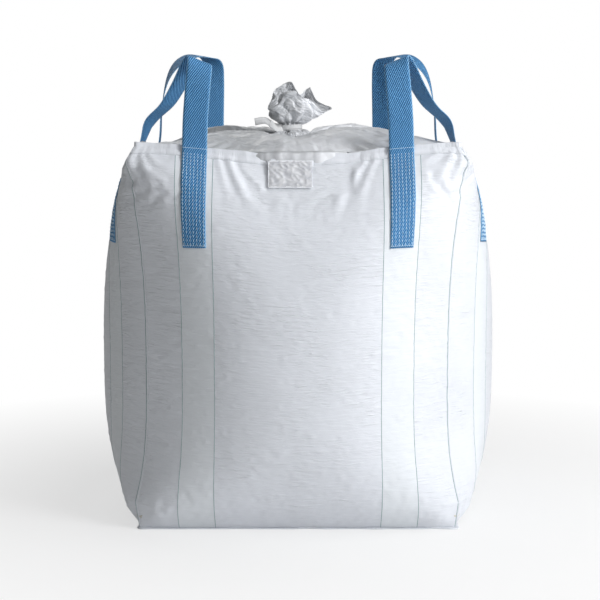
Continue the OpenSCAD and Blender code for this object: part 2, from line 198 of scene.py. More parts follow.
def make_studio():
    """A faint grey glow and four soft lights, against a background that the camera sees as white."""
    scene.view_settings.view_transform = "Standard"
    world = bpy.data.worlds.new("studio")
    world.use_nodes = True
    nodes, links = world.node_tree.nodes, world.node_tree.links
    glow = nodes["Background"]
    glow.inputs["Color"].default_value = (0.96, 0.97, 0.95, 1)
    glow.inputs["Strength"].default_value = 0.20
    white = nodes.new("ShaderNodeBackground")
    white.inputs["Color"].default_value = (1, 1, 1, 1)
    seen = nodes.new("ShaderNodeLightPath")
    both = nodes.new("ShaderNodeMixShader")
    links.new(seen.outputs["Is Camera Ray"], both.inputs["Fac"])
    links.new(glow.outputs["Background"], both.inputs[1])
    links.new(white.outputs["Background"], both.inputs[2])
    links.new(both.outputs["Shader"], nodes["World Output"].inputs["Surface"])
    scene.world = world
    middle = (0, 0, 0.6)
    make_area_light("key", (3.6, -2.7, 2.1), middle, (1.5, 2.0), 152, (0.975, 0.985, 1.0))
    make_area_light("front_fill", (0.6, -4.8, 2.4), middle, (2.4, 1.4), 13, (0.90, 0.94, 1.0))
    make_area_light("back_fill", (-1.5, 4.2, 3.0), middle, (3.0, 2.0), 36)
    make_area_light("top", (1.1, -0.9, 3.5), middle, (1.6, 1.6), 27, (0.97, 0.98, 1.0))


# ---------------------------------------------------------------- materials

class Graph:
    """Adds and links the shader nodes of one new material."""

    def __init__(self, name, **sockets):
        self.material = bpy.data.materials.new(name)
        self.material.use_nodes = True
        self.tree = self.material.node_tree
        self.shader = self.tree.nodes["Principled BSDF"]
        for socket, value in sockets.items():
            self.shader.inputs[socket.replace("_", " ")].default_value = value

    def node(self, kind, **settings):
        made = self.tree.nodes.new("ShaderNode" + kind)
        for key, value in settings.items():
            setattr(made, key, value)
        return made

    def plug(self, socket, value):
        if isinstance(value, bpy.types.NodeSocket):
            self.tree.links.new(value, socket)
        else:
            socket.default_value = value

    def uv(self, scale=(1, 1, 1)):
        return self.stretched(self.node("UVMap", uv_map="cloth").outputs["UV"], scale)

    def solid(self, scale=(1, 1, 1)):
        return self.stretched(self.node("TexCoord").outputs["Object"], scale)

    def stretched(self, vector, scale):
        made = self.node("Mapping")
        self.plug(made.inputs["Vector"], vector)
        made.inputs["Scale"].default_value = scale
        return made.outputs["Vector"]

    def axes(self, vector):
        """The x and y outputs of a vector."""
        parts = self.node("SeparateXYZ")
        self.plug(parts.inputs[0], vector)
        return parts.outputs["X"], parts.outputs["Y"]

    def math(self, operation, *values):
        made = self.node("Math", operation=operation)
        for socket, value in zip(made.inputs, values):
            self.plug(socket, value)
        return made.outputs["Value"]

    def add(self, first, second):
        return self.math("ADD", first, second)

    def times(self, first, second):
        return self.math("MULTIPLY", first, second)

    def noise(self, vector, scale=1.0, detail=2.0, roughness=0.5, distortion=0.0):
        made = self.node("TexNoise")
        self.plug(made.inputs["Vector"], vector)
        for socket, value in (("Scale", scale), ("Detail", detail), ("Roughness", roughness),
                              ("Distortion", distortion)):
            made.inputs[socket].default_value = value
        return made.outputs["Fac"]

    def span(self, value, low, high, to_low=0.0, to_high=1.0):
        made = self.node("MapRange")
        for socket, number in zip(made.inputs, (value, low, high, to_low, to_high)):
            self.plug(socket, number)
        return made.outputs["Result"]

    def mix(self, factor, first, second):
        made = self.node("Mix", data_type="RGBA")
        self.plug(made.inputs["Factor"], factor)
        for socket, value in ((made.inputs[6], first), (made.inputs[7], second)):
            self.plug(socket, value if isinstance(value, bpy.types.NodeSocket) else (*value, 1))
        return made.outputs[2]

    def bump(self, height, strength, distance, normal=None):
        made = self.node("Bump")
        made.inputs["Strength"].default_value = strength
        made.inputs["Distance"].default_value = distance
        self.plug(made.inputs["Height"], height)
        if normal is not None:
            self.plug(made.inputs["Normal"], normal)
        return made.outputs["Normal"]

    def finish(self, colour=None, roughness=None, normal=None):
        for name, value in (("Base Color", colour), ("Roughness", roughness), ("Normal", normal)):
            if value is not None:
                self.plug(self.shader.inputs[name], value)
        return self.material


def weave_height(graph, tape):
    """Height of a plain weave of flat tapes, from -1 to 1."""
    across, along = graph.axes(graph.uv((math.pi / tape, math.pi / tape, 1)))
    return graph.times(graph.math("SINE", across), graph.math("SINE", along))


def leg_bands(graph):
    """One between the two marker threads beside each leg, where the fabric is reinforced, or else zero."""
    panels, _ = graph.axes(graph.uv((1 / PANEL_W, 1, 1)))
    across = graph.math("SUBTRACT", graph.math("FRACT", panels), 0.5)
    across = graph.times(graph.math("ABSOLUTE", across), PANEL_W)
    from_leg = graph.math("ABSOLUTE", graph.math("SUBTRACT", across, LEG_OFFSET))
    return graph.span(from_leg, THREAD_OFFSET + 0.001, THREAD_OFFSET - 0.001)


def fabric_material(name, pale, deep, roughness, weave_strength, crinkle_strength, bands=False):
    """Fabric woven from flat tapes, with level crinkles; bands makes it smoother and paler by the legs."""
    graph = Graph(name, Specular_IOR_Level=0.5, Sheen_Weight=0.08)
    blotch = graph.noise(graph.uv((5, 3, 1)), detail=4)
    streaks = graph.noise(graph.uv((18, 240, 1)), detail=2)
    fade = graph.add(graph.times(blotch, 0.7), graph.times(streaks, 0.3))
    colour = graph.mix(graph.span(fade, 0.3, 0.7), deep, pale)
    tapes = weave_height(graph, 0.0021)
    colour = graph.mix(graph.span(tapes, -1, 1, 0.0, 0.10), colour, deep)
    crinkles = graph.noise(graph.uv((24, 150, 1)), detail=2, roughness=0.6, distortion=0.5)
    patches = graph.span(graph.noise(graph.uv((7, 7, 1)), detail=2), 0.42, 0.66, 0.25, 1.0)
    folds = graph.times(graph.math("POWER", graph.span(crinkles, 0.42, 0.74), 1.5), patches)
    wide = graph.noise(graph.uv((10, 46, 1)), detail=3, roughness=0.55, distortion=0.5)
    if bands:
        band = leg_bands(graph)
        colour = graph.mix(graph.times(band, 0.35), colour, (0.82, 0.86, 0.87))
        folds = graph.times(folds, graph.span(band, 0, 1, 1.0, 0.3))
    rough = graph.span(graph.noise(graph.uv((9, 60, 1))), 0.3, 0.7, roughness - 0.06, roughness + 0.08)
    normal = graph.bump(wide, crinkle_strength * 0.5, 0.0035)
    normal = graph.bump(folds, crinkle_strength, 0.0016, normal)
    normal = graph.bump(tapes, weave_strength, 0.00025, normal)
    return graph.finish(colour, rough, normal)


def webbing_material():
    """Blue webbing in a slanted twill, with a paler edge, and painted highlight on the raised yarns of the
    twill.
    """
    graph = Graph("loop_webbing", Roughness=0.6, Specular_IOR_Level=0.35, Sheen_Weight=0.06)
    across, along = graph.axes(graph.uv())
    wobble = graph.times(graph.noise(graph.uv((60, 60, 1)), detail=1), 0.35)
    slant = graph.math("SUBTRACT", graph.math("DIVIDE", across, 0.0062), graph.math("DIVIDE", along, 0.0102))
    slant = graph.add(slant, wobble)
    twill = graph.math("SINE", graph.times(slant, 2 * math.pi))
    ends = graph.math("SINE", graph.times(across, 2 * math.pi / 0.0024))
    picks = graph.math("SINE", graph.times(along, 2 * math.pi / 0.0031))
    yarn = graph.times(graph.add(twill, 1), graph.add(graph.times(ends, 0.4), 1.4))
    yarn = graph.add(yarn, graph.times(picks, 0.35))
    # Painted highlight: the colour is paler where the twill's yarns stand highest, on the same height that
    # the bump uses.
    light = graph.span(yarn, 1.0, 3.2)
    patch = graph.noise(graph.uv((28, 9, 1)), detail=3)
    deep = graph.mix(patch, (0.005, 0.066, 0.20), (0.016, 0.14, 0.36))
    colour = graph.mix(light, deep, (0.21, 0.55, 0.92))
    edge = graph.math("ABSOLUTE", across)
    selvage = graph.span(edge, WEBBING_W / 2 - 0.0028, WEBBING_W / 2 - 0.0008)
    colour = graph.mix(graph.times(selvage, 0.55), colour, (0.34, 0.60, 0.84))
    normal = graph.bump(yarn, 0.55, 0.0007)
    return graph.finish(colour, None, normal)


def thread_material(name, colour, worn):
    """Twisted yarn that is a little worn in places."""
    graph = Graph(name, Roughness=0.55, Specular_IOR_Level=0.3)
    patch = graph.noise(graph.solid((90, 90, 90)), detail=2)
    twist = graph.node("TexWave")
    graph.plug(twist.inputs["Vector"], graph.solid())
    twist.bands_direction = "DIAGONAL"
    twist.inputs["Scale"].default_value = 260
    normal = graph.bump(twist.outputs["Fac"], 0.4, 0.0003)
    return graph.finish(graph.mix(patch, colour, worn), None, normal)


def pouch_material():
    """Clear crumpled film."""
    graph = Graph("pouch_film", Roughness=0.14, Specular_IOR_Level=0.6, Alpha=0.5)
    crumple = graph.noise(graph.solid((55, 55, 55)), detail=3, distortion=0.8)
    haze = graph.mix(graph.span(crumple, 0.35, 0.65), (0.72, 0.73, 0.77), (0.97, 0.97, 0.99))
    return graph.finish(haze, None, graph.bump(crumple, 0.25, 0.0012))


def card_material():
    """Creased paper with grey smudges, and nothing to read."""
    graph = Graph("card", Roughness=0.7, Specular_IOR_Level=0.25)
    fibre = graph.noise(graph.solid((400, 400, 120)), detail=3)
    creases = graph.noise(graph.solid((38, 38, 38)), detail=1, distortion=1.2)
    colour = graph.mix(graph.span(fibre, 0.3, 0.7), (0.74, 0.75, 0.77), (0.84, 0.85, 0.87))
    smudge = graph.noise(graph.solid((48, 30, 60)), detail=4, distortion=1.5)
    colour = graph.mix(graph.span(smudge, 0.56, 0.68, 0, 0.5), colour, (0.40, 0.41, 0.45))
    normal = graph.bump(creases, 0.3, 0.001)
    return graph.finish(colour, None, graph.bump(fibre, 0.2, 0.0002, normal))


def granule_material():
    """Small pale grains."""
    graph = Graph("bulk_contents", Roughness=0.5)
    grains = graph.node("TexVoronoi")
    graph.plug(grains.inputs["Vector"], graph.solid())
    grains.inputs["Scale"].default_value = 220
    colour = graph.mix(grains.outputs["Distance"], (0.78, 0.76, 0.70), (0.5, 0.48, 0.42))
    return graph.finish(colour, None, graph.bump(grains.outputs["Distance"], 0.8, 0.002))


def duffle_material():
    """Glossy crumpled film, with painted shade that greys it towards the left and darkens the grooves of its
    radial pleats.
    """
    graph = Graph("duffle_film", Specular_IOR_Level=0.55, Coat_Weight=0.12, Coat_Roughness=0.25)
    crumple = graph.node("TexVoronoi", feature="DISTANCE_TO_EDGE")
    wavy = graph.noise(graph.uv((6, 9, 1)), detail=3)
    place = graph.node("VectorMath", operation="ADD")
    graph.plug(place.inputs[0], graph.uv((11, 20, 1)))
    graph.plug(place.inputs[1], graph.times(wavy, 2.2))
    graph.plug(crumple.inputs["Vector"], place.outputs["Vector"])
    crumple.inputs["Scale"].default_value = 1.0
    edges = graph.span(crumple.outputs["Distance"], 0.0, 0.25)
    fine = graph.noise(graph.uv((60, 100, 1)), detail=3, distortion=1.0)
    patch = graph.noise(graph.uv((5, 8, 1)), detail=3)
    colour = graph.mix(graph.span(patch, 0.3, 0.7), (0.76, 0.77, 0.80), (0.89, 0.90, 0.93))
    colour = graph.mix(graph.span(edges, 0, 1, 0.35, 0), colour, (0.90, 0.91, 0.93))
    # Painted shade: the film is made greyer towards the left, by its place across the bag.
    across, _ = graph.axes(graph.solid())
    painted_left_shade = graph.span(across, 0.04, -0.14)
    colour = graph.mix(graph.times(painted_left_shade, 0.75), colour, (0.34, 0.35, 0.36))
    rough = graph.span(fine, 0.3, 0.7, 0.28, 0.46)
    radial = graph.noise(graph.uv((13, 2.4, 1)), detail=2, distortion=0.7)
    # Painted shade: the grooves of the radial pleats, where the bump below sinks, are made darker.
    colour = graph.mix(graph.span(radial, 0.35, 0.65, 0.30, 0.0), colour, (0.48, 0.49, 0.50))
    normal = graph.bump(radial, 0.7, 0.012)
    normal = graph.bump(edges, 0.4, 0.004, normal)
    normal = graph.bump(fine, 0.25, 0.0012, normal)
    return graph.finish(colour, rough, normal)


def floor_material():
    """Pale near the bag, and plain white further off."""
    graph = Graph("floor", Roughness=0.75)
    speckle = graph.noise(graph.solid((3, 3, 3)), detail=5)
    pale = graph.finish(graph.mix(speckle, (0.90, 0.90, 0.90), (0.94, 0.94, 0.94)))
    distance = graph.node("VectorMath", operation="LENGTH")
    graph.plug(distance.inputs[0], graph.solid())
    seen = graph.node("LightPath").outputs["Is Camera Ray"]
    glow = graph.node("Emission")
    both = graph.node("MixShader")
    far = graph.span(distance.outputs["Value"], 0.7, 2.0, 0.6, 1.0)
    graph.plug(both.inputs[0], graph.times(far, seen))
    graph.plug(both.inputs[1], graph.shader.outputs[0])
    graph.plug(both.inputs[2], glow.outputs[0])
    graph.plug(graph.tree.nodes["Material Output"].inputs["Surface"], both.outputs[0])
    return pale


# ---------------------------------------------------------------- numbers, grids and meshes

def smooth_step(x, low, high):
    t = np.clip((x - low) / (high - low), 0, 1)
    return t * t * (3 - 2 * t)


def unit(vectors):
    return vectors / np.maximum(np.linalg.norm(vectors, axis=-1, keepdims=True), 1e-9)


def wrapped(angle):
    """The same angle between -pi and pi."""
    return np.angle(np.exp(1j * angle))


def ridged(noise):
    """Turns smooth noise into sharp ridges, from -1 to 1."""
    return 1 - 2 * np.sqrt(np.abs(noise) + 1e-4)


def pleats(turns, rising):
    """A lopsided saw-tooth from -0.5 to 0.5, which rises over that share of each turn."""
    tooth = turns - np.floor(turns)
    return np.where(tooth < rising, tooth / rising, (1 - tooth) / (1 - rising)) - 0.5


def run_lengths(line):
    """Distance along a line of points to each of them."""
    return np.concatenate([[0], np.cumsum(np.linalg.norm(np.diff(line, axis=0), axis=1))])


def spline(stops, places):
    """Catmull-Rom through stops at fractional places."""
    stops = np.asarray(stops, float)
    i = np.clip(np.floor(places).astype(int), 0, len(stops) - 2)
    t = (places - i)[:, None]
    a, b = stops[np.maximum(i - 1, 0)], stops[i]
    c, d = stops[i + 1], stops[np.minimum(i + 2, len(stops) - 1)]
    bend = (2 * a - 5 * b + 4 * c - d) * t * t
    return 0.5 * (2 * b + (c - a) * t + bend + (3 * b - a - 3 * c + d) * t ** 3)


def between(field, i, j, k, s, t):
    """Value of a grid at share t of the way from row i to the next, and s of the way from column j to k."""
    return ((1 - t) * ((1 - s) * field[i, j] + s * field[i, k])
            + t * ((1 - s) * field[i + 1, j] + s * field[i + 1, k]))


def ring_normals(grid):
    """Outward normals of a ring grid [row, column, xyz] whose columns run counter-clockwise."""
    along = np.roll(grid, -1, 1) - np.roll(grid, 1, 1)
    up = np.gradient(grid, axis=0)
    return unit(np.cross(along, up))


def blur(field, passes):
    """Smooths a ring field over its neighbours; its first and last rows are clamped."""
    for _ in range(passes):
        field = 0.5 * field + 0.25 * (np.roll(field, 1, 1) + np.roll(field, -1, 1))
        padded = np.concatenate([field[:1], field, field[-1:]])
        field = 0.5 * field + 0.25 * (padded[:-2] + padded[2:])
    return field


def finer_ring(grid):
    """Twice as many rows and columns, with cubic midpoints."""
    between_columns = (9 * (grid + np.roll(grid, -1, 1)) - np.roll(grid, 1, 1) - np.roll(grid, -2, 1)) / 16
    wide = np.stack([grid, between_columns], 2).reshape(grid.shape[0], -1, 3)
    ends = np.concatenate([2 * wide[:1] - wide[1:2], wide, 2 * wide[-1:] - wide[-2:-1]])
    tall = np.empty((2 * len(wide) - 1, *wide.shape[1:]))
    tall[0::2] = wide
    tall[1::2] = (9 * (ends[1:-2] + ends[2:-1]) - ends[:-3] - ends[3:]) / 16
    return tall


def ring_noise(rows, columns, row_waves, column_waves, octaves=3):
    """Seeded smooth noise about zero on a ring grid, from waves of random phase."""
    v = np.linspace(0, 1, rows)[:, None]
    a = np.linspace(0, 2 * math.pi, columns, endpoint=False)[None, :]
    total = np.zeros((rows, columns))
    for octave in range(octaves):
        for _ in range(10):
            k = max(1, round(random.normal(column_waves, column_waves / 3))) * 2 ** octave
            m = random.normal(0, row_waves) * 2 ** octave
            total += np.sin(k * a + 2 * math.pi * (m * v + random.random())) / 2 ** octave
    return total / np.abs(total).max()


def ring_wave(columns, spacing, size):
    """Seeded heights round a ring, joined by straight lines; each is that many columns from the next."""
    places = np.arange(0, columns, spacing)
    return np.interp(np.arange(columns), places, random.normal(0, size, len(places)), period=columns)


def grid_faces(rows, columns, wrap=False, first=0):
    """Quads of a grid of rows by columns points; wrap closes its columns into a ring."""
    i, j = np.meshgrid(np.arange(rows - 1), np.arange(columns if wrap else columns - 1), indexing="ij")
    a = first + i * columns + j
    b = first + i * columns + (j + 1) % columns
    return np.stack([a, b, b + columns, a + columns], -1).reshape(-1, 4).tolist()


def grid_uv(across, along):
    """One pair for each point of a grid, row by row."""
    return np.stack(np.meshgrid(across, along), -1).reshape(-1, 2)


def make_mesh(name, points, faces, material, uv=None, smooth=True):
    """A new object; uv holds one pair, in metres, for each point."""
    mesh = bpy.data.meshes.new(name)
    mesh.from_pydata(np.reshape(points, (-1, 3)).tolist(), [], faces)
    mesh.polygons.foreach_set("use_smooth", [smooth] * len(mesh.polygons))
    if uv is not None:
        corners = np.zeros(len(mesh.loops), int)
        mesh.loops.foreach_get("vertex_index", corners)
        mesh.uv_layers.new(name="cloth").data.foreach_set("uv", uv[corners].ravel())
    mesh.materials.append(material)
    made = bpy.data.objects.new(name, mesh)
    scene.collection.objects.link(made)
    return made


def make_strip(name, grid, material, closed=False, uv_width=0.01):
    """A tube through rows of points; closed joins its last row to the first, or else its ends are capped."""
    rows, columns = grid.shape[:2]
    faces = grid_faces(rows, columns, wrap=True)
    last = (rows - 1) * columns
    if closed:
        faces += [[last + j, last + (j + 1) % columns, (j + 1) % columns, j] for j in range(columns)]
    else:
        faces += [list(range(columns))[::-1], list(range(last, last + columns))]
    uv = grid_uv(np.linspace(0, uv_width, columns), run_lengths(grid[:, 0]))
    return make_mesh(name, grid, faces, material, uv)


def thicken(piece, thickness, offset=0):
    solid = piece.modifiers.new("thickness", "SOLIDIFY")
    solid.thickness = thickness
    solid.offset = offset


def dress(piece, body, slot, *nodes):
    """Puts a piece on its body and hides the CAD nodes that it stands for; slot is not used."""
    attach(piece, body)
    if nodes:
        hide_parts(*nodes)
    return piece


def settle(name, start, held_rows, frames, rest=None, pressure=0.0, gravity=0.0, growth=0.0,
           stiffness=15.0, bending=0.05):
    """Runs a cloth simulation of a ring grid and returns how far each of its points has moved."""
    rows, columns = start.shape[:2]
    made = make_mesh(name, start, grid_faces(rows, columns, wrap=True), bpy.data.materials.new(name))
    held = np.arange(rows * columns).reshape(rows, columns)[list(held_rows)]
    made.vertex_groups.new(name="pin").add(held.ravel().tolist(), 1.0, "REPLACE")
    cloth = made.modifiers.new("cloth", "CLOTH")
    settings = cloth.settings
    settings.quality = 5
    settings.mass = 0.2
    settings.tension_stiffness = stiffness
    settings.compression_stiffness = stiffness
    settings.shear_stiffness = stiffness / 3
    settings.bending_stiffness = bending
    settings.tension_damping = 8
    settings.compression_damping = 8
    settings.shear_damping = 8
    settings.air_damping = 2
    settings.vertex_group_mass = "pin"
    settings.effector_weights.gravity = gravity
    cloth.collision_settings.use_collision = False
    if pressure:
        settings.use_pressure = True
        settings.uniform_pressure_force = pressure
    if growth:
        settings.shrink_min = -growth
    if rest is not None:
        made.shape_key_add(name="Basis")
        key = made.shape_key_add(name="rest")
        key.data.foreach_set("co", rest.ravel())
        settings.rest_shape_key = key
    cloth.point_cache.frame_start = 1
    cloth.point_cache.frame_end = frames
    for step in range(1, frames + 1):
        scene.frame_set(step)
    shown = made.evaluated_get(bpy.context.evaluated_depsgraph_get()).to_mesh()
    settled = np.zeros(start.size)
    shown.vertices.foreach_get("co", settled)
    bpy.data.objects.remove(made)
    scene.frame_set(1)
    return settled.reshape(start.shape) - start


def settled_film(name, start, held_rows, frames, cap, growth, bending, gravity):
    """A ring grid of film that has crumpled as it grew; no point moves further than cap."""
    moved = settle(name, start, held_rows, frames, growth=growth, stiffness=12, bending=bending,
                   gravity=gravity)
    size = np.linalg.norm(moved, axis=-1, keepdims=True)
    return start + moved * (cap * np.tanh(size / cap) / np.maximum(size, 1e-9))


# ---------------------------------------------------------------- the wall's surface

def half_width(v):
    """Half the bag's width at share v of its height."""
    low = 1 - np.clip(1 - v / BELLY_SHARE, 0, None) ** 3
    high = 1 - np.clip((v - BELLY_SHARE) / (1 - BELLY_SHARE), 0, None) ** 2.8
    return np.where(v < BELLY_SHARE, FOOT_HALF + (BELLY_R - FOOT_HALF) * low,
                    MOUTH_HALF + (BELLY_R - MOUTH_HALF) * high)


def rim_z(q):
    return RIM_H - RIM_DROOP * (1 - q * q) ** 3


def turned(x, y, face):
    """Turns points of the front wall, by quarter turns, onto the wall of that number."""
    cos, sin = np.cos(np.pi / 2 * face), np.sin(np.pi / 2 * face)
    return x * cos - y * sin, x * sin + y * cos


def along_section(share, half_section):
    """Distance along the section; where it is shorter than the panels, they are gathered by the corners."""
    even = np.minimum(share, GATHER_FROM) * HALF_PANEL
    rest = (half_section - GATHER_FROM * HALF_PANEL) / (1 - GATHER_FROM)
    return even + np.clip(share - GATHER_FROM, 0, None) * rest


def smooth_wall(face, q, v):
    """Points of the smooth wall at share q of the half panel and share v of the height."""
    half = half_width(v)
    radius = np.maximum(CORNER_TIP, (half - HALF_PANEL) / ARC_GAIN)
    flat = half - radius
    along = along_section(np.abs(q), flat + radius * math.pi / 4)
    turn = np.clip(along - flat, 0, None) / radius
    x = np.sign(q) * (np.minimum(along, flat) + radius * np.sin(turn))
    y = -(flat + radius * np.cos(turn))
    x, y = turned(x, y, face)
    return np.stack([x, y, v * rim_z(q)], -1)


def ring_coordinates(columns):
    """Wall number and panel share of each column of a ring, with that many columns to a wall."""
    index = np.arange(4 * columns)
    return index // columns, 2 * (index % columns) / columns - 1


def start_ring():
    """The smooth wall with a slightly uneven surface, for the simulation to start from."""
    faces, shares = ring_coordinates(SIM_COLUMNS)
    v = np.linspace(0, 1, SIM_ROWS + 1)[:, None]
    grid = smooth_wall(faces[None, :], shares[None, :], v)
    normal = ring_normals(grid)
    free = 1 - 0.8 * smooth_step(np.abs(shares), 0.45, 0.6)
    rim = smooth_step(v, 0.9, 1.0) * ring_noise(SIM_ROWS + 1, 4 * SIM_COLUMNS, 0.3, 26)
    grid = grid + normal * (rim * 0.004 * free[None, :])[..., None]
    jitter = random.normal(0, 0.0005, grid.shape[:2])
    jitter[0] = 0
    return grid + normal * jitter[..., None]


def flat_ring(height):
    """The four panels as they were cut and sewn: a square tube."""
    faces, shares = ring_coordinates(SIM_COLUMNS)
    x, y = turned(shares * HALF_PANEL, np.full(len(shares), -HALF_PANEL), faces)
    ring = np.stack([x, y, np.zeros(len(x))], -1)
    tube = np.repeat(ring[None], SIM_ROWS + 1, 0)
    tube[..., 2] = np.linspace(0, height, SIM_ROWS + 1)[:, None]
    return tube


def simulated_ring():
    """The wall pressed out by what it holds, and the length of fabric up the middle of a panel."""
    start = start_ring()
    height = np.linalg.norm(np.diff(start[:, SIM_COLUMNS // 2], axis=0), axis=1).sum()
    moved = settle("wall_cloth", start, (0, -1), 22, rest=flat_ring(height), pressure=3.0, stiffness=30,
                   bending=0.02)
    drift = blur(moved, 40)
    wrinkles = moved - drift
    size = np.linalg.norm(wrinkles, axis=-1, keepdims=True)
    wrinkles *= np.minimum(1, WRINKLE_CAP / np.maximum(size, 1e-9))
    risen = smooth_step(np.linspace(0, 1, len(start)), 0.0, 0.10)[:, None, None]
    return start + (wrinkles + 0.25 * drift) * risen, height


def fold_height(x, down, start, end, width, lift):
    """Height of one bowed fold that runs over the wall from start to end, both (sideways, down)."""
    dx, dy = end[0] - start[0], end[1] - start[1]
    length = math.hypot(dx, dy)
    along = ((x - start[0]) * dx + (down - start[1]) * dy) / length ** 2
    bow = 0.06 * length * np.sin(np.pi * np.clip(along, 0, 1))
    off = ((x - start[0]) * dy - (down - start[1]) * dx) / length + bow
    spread = width * (0.6 + 0.8 * np.clip(along, 0, 1))
    shape = np.exp(-(off / spread) ** 2) - 0.5 * np.exp(-((off - 1.7 * spread) / spread) ** 2)
    fade = smooth_step(along, -0.08, 0.15) * (1 - smooth_step(along, 0.35, 1.0))
    return lift * shape * fade


def add_folds(grid):
    """Tension folds below the rim, which fan out from the legs and from the corner tips."""
    rows, columns = grid.shape[:2]
    faces, shares = ring_coordinates(columns // 4)
    x = (shares * HALF_PANEL)[None, :]
    down = (1 - np.linspace(0, 1, rows))[:, None] * RIM_H
    height = np.zeros((rows, columns))

    def add(face, start, sideways, drop, width, lift):
        end = (start[0] + sideways, start[1] + drop)
        height[:] += np.where(faces == face, fold_height(x, down, start, end, width, lift), 0)

    for face in range(4):
        for side in (-1, 1):
            for k, (reach, drop, depth) in enumerate(LEG_FOLDS):
                vary = random.uniform(0.8, 1.2, 4)
                start = (side * (0.225 - 0.03 * k), 0.004 + 0.01 * k * vary[0])
                add(face, start, -side * reach * vary[1], drop * vary[2], 0.013 * vary[3], depth * vary[0])
            for k, (reach, drop, depth) in enumerate(TIP_FOLDS):
                vary = random.uniform(0.8, 1.2, 3)
                start = (side * (0.465 - 0.012 * k), 0.006)
                add(face, start, -side * reach * vary[0], drop * vary[1], 0.009 * vary[2], depth * vary[0])
    return grid + ring_normals(grid) * height[..., None]


def add_crinkles(grid):
    """Fine level crinkles, strongest beside the corners, where the fabric is short of stretch."""
    rows, columns = grid.shape[:2]
    _, shares = ring_coordinates(columns // 4)
    v = np.linspace(0, 1, rows)[:, None]
    level = ridged(ring_noise(rows, columns, 26, 22, octaves=2))
    patches = smooth_step(ring_noise(rows, columns, 2.0, 9, octaves=2), -0.25, 0.5)
    corner = smooth_step(np.abs(shares), 0.55, 0.85)[None, :]
    body = smooth_step(v, 0.04, 0.2) * (1 - smooth_step(v, 0.93, 1.0))
    lift = (0.0003 + 0.0011 * corner) * patches * body * level
    return grid + ring_normals(grid) * lift[..., None]


def add_ears(grid):
    """The corner tips are pinched outwards a little at the rim and at the base."""
    rows, columns = grid.shape[:2]
    _, shares = ring_coordinates(columns // 4)
    from_corner = (1 - np.abs(shares)) * HALF_PANEL
    v = np.linspace(0, 1, rows)[:, None]
    near = np.exp(-(from_corner / 0.022) ** 2)[None, :]
    lift = near * (0.009 * smooth_step(v, 0.92, 0.985) + 0.004 * (1 - smooth_step(v, 0.01, 0.05)))
    return grid + unit(grid * LEVEL) * lift[..., None]


def clear_pouch(grid):
    """Presses the front wall flat behind the pouch and where its card slides out."""
    x, y, z = grid[..., 0], grid[..., 1] - POUCH_PIVOT.y, grid[..., 2] - POUCH_PIVOT.z
    cos, sin = math.cos(POUCH_LEAN), math.sin(POUCH_LEAN)
    behind = y * cos - z * sin
    below = y * sin + z * cos
    place = smooth_step(x, -0.105, -0.09) * (1 - smooth_step(x, 0.14, 0.16))
    place *= smooth_step(below, -0.115, -0.095) * (1 - smooth_step(below, 0.0, 0.01)) * (grid[..., 1] < 0)
    push = np.clip(POUCH_GAP - behind, 0, None) * place
    grid = grid.copy()
    grid[..., 1] += push * cos
    grid[..., 2] -= push * sin
    return grid


def straighten_foot_corners(grid):
    """Runs the corners straight down to the ground instead of round a low bulge."""
    rows, columns = grid.shape[:2]
    low = int(0.075 * rows)
    _, shares = ring_coordinates(columns // 4)
    weight = smooth_step(np.abs(shares), 0.80, 0.98)[None, :, None]
    share = np.linspace(0, 1, low + 1)[:, None, None]
    straight = grid[0] * (1 - share) + grid[low] * share
    grid = grid.copy()
    grid[:low + 1] = grid[:low + 1] * (1 - weight) + straight * weight
    return grid


class Skin:
    """The finished wall surface, to place seams, threads, webbing and hems on."""

    def __init__(self, grid, height):
        self.grid = grid
        self.normals = ring_normals(grid)
        self.columns = grid.shape[1] // 4
        self.height = height

    def sample(self, field, face, q, v):
        """Value of a field of the ring on a wall, at share q of the half panel and share v of the height."""
        face, q, v = np.broadcast_arrays(face, q, v)
        rows, columns = field.shape[:2]
        column = (face + (q + 1) / 2) * self.columns
        row = np.clip(v, 0, 1) * (rows - 1)
        j = np.floor(column + 1e-9).astype(int)
        i = np.minimum(np.floor(row + 1e-9).astype(int), rows - 2)
        s, t = (column - j)[..., None], (row - i)[..., None]
        return between(field, i, j % columns, (j + 1) % columns, s, t)

    def normal_at(self, face, q, v):
        return unit(self.sample(self.normals, face, q, v))

    def at(self, face, q, v, out=0.0):
        return self.sample(self.grid, face, q, v) + self.normal_at(face, q, v) * out


def make_skin():
    grid, height = simulated_ring()
    grid = add_ears(add_crinkles(add_folds(finer_ring(grid))))
    grid = straighten_foot_corners(clear_pouch(grid))
    grid[0, :, 2] = FLOOR_GAP
    grid[..., 2] = np.maximum(grid[..., 2], FLOOR_GAP)
    return Skin(grid, height)


def make_panels(skin, material):
    """The four walls."""
    for face, wall in enumerate(WALLS):
        columns = np.arange(face * skin.columns, (face + 1) * skin.columns + 1)
        grid = skin.grid[:, columns % skin.grid.shape[1]]
        across = np.linspace(0, PANEL_W, len(columns)) + face * PANEL_W
        uv = grid_uv(across, np.linspace(0, skin.height, len(grid)))
        piece = make_mesh(f"{wall}_panel_cloth", grid, grid_faces(*grid.shape[:2]), material, uv)
        thicken(piece, FABRIC_T, offset=-1)
        dress(piece, "bag", "woven_fabric", f"{wall}_panel")


# ---------------------------------------------------------------- webbing

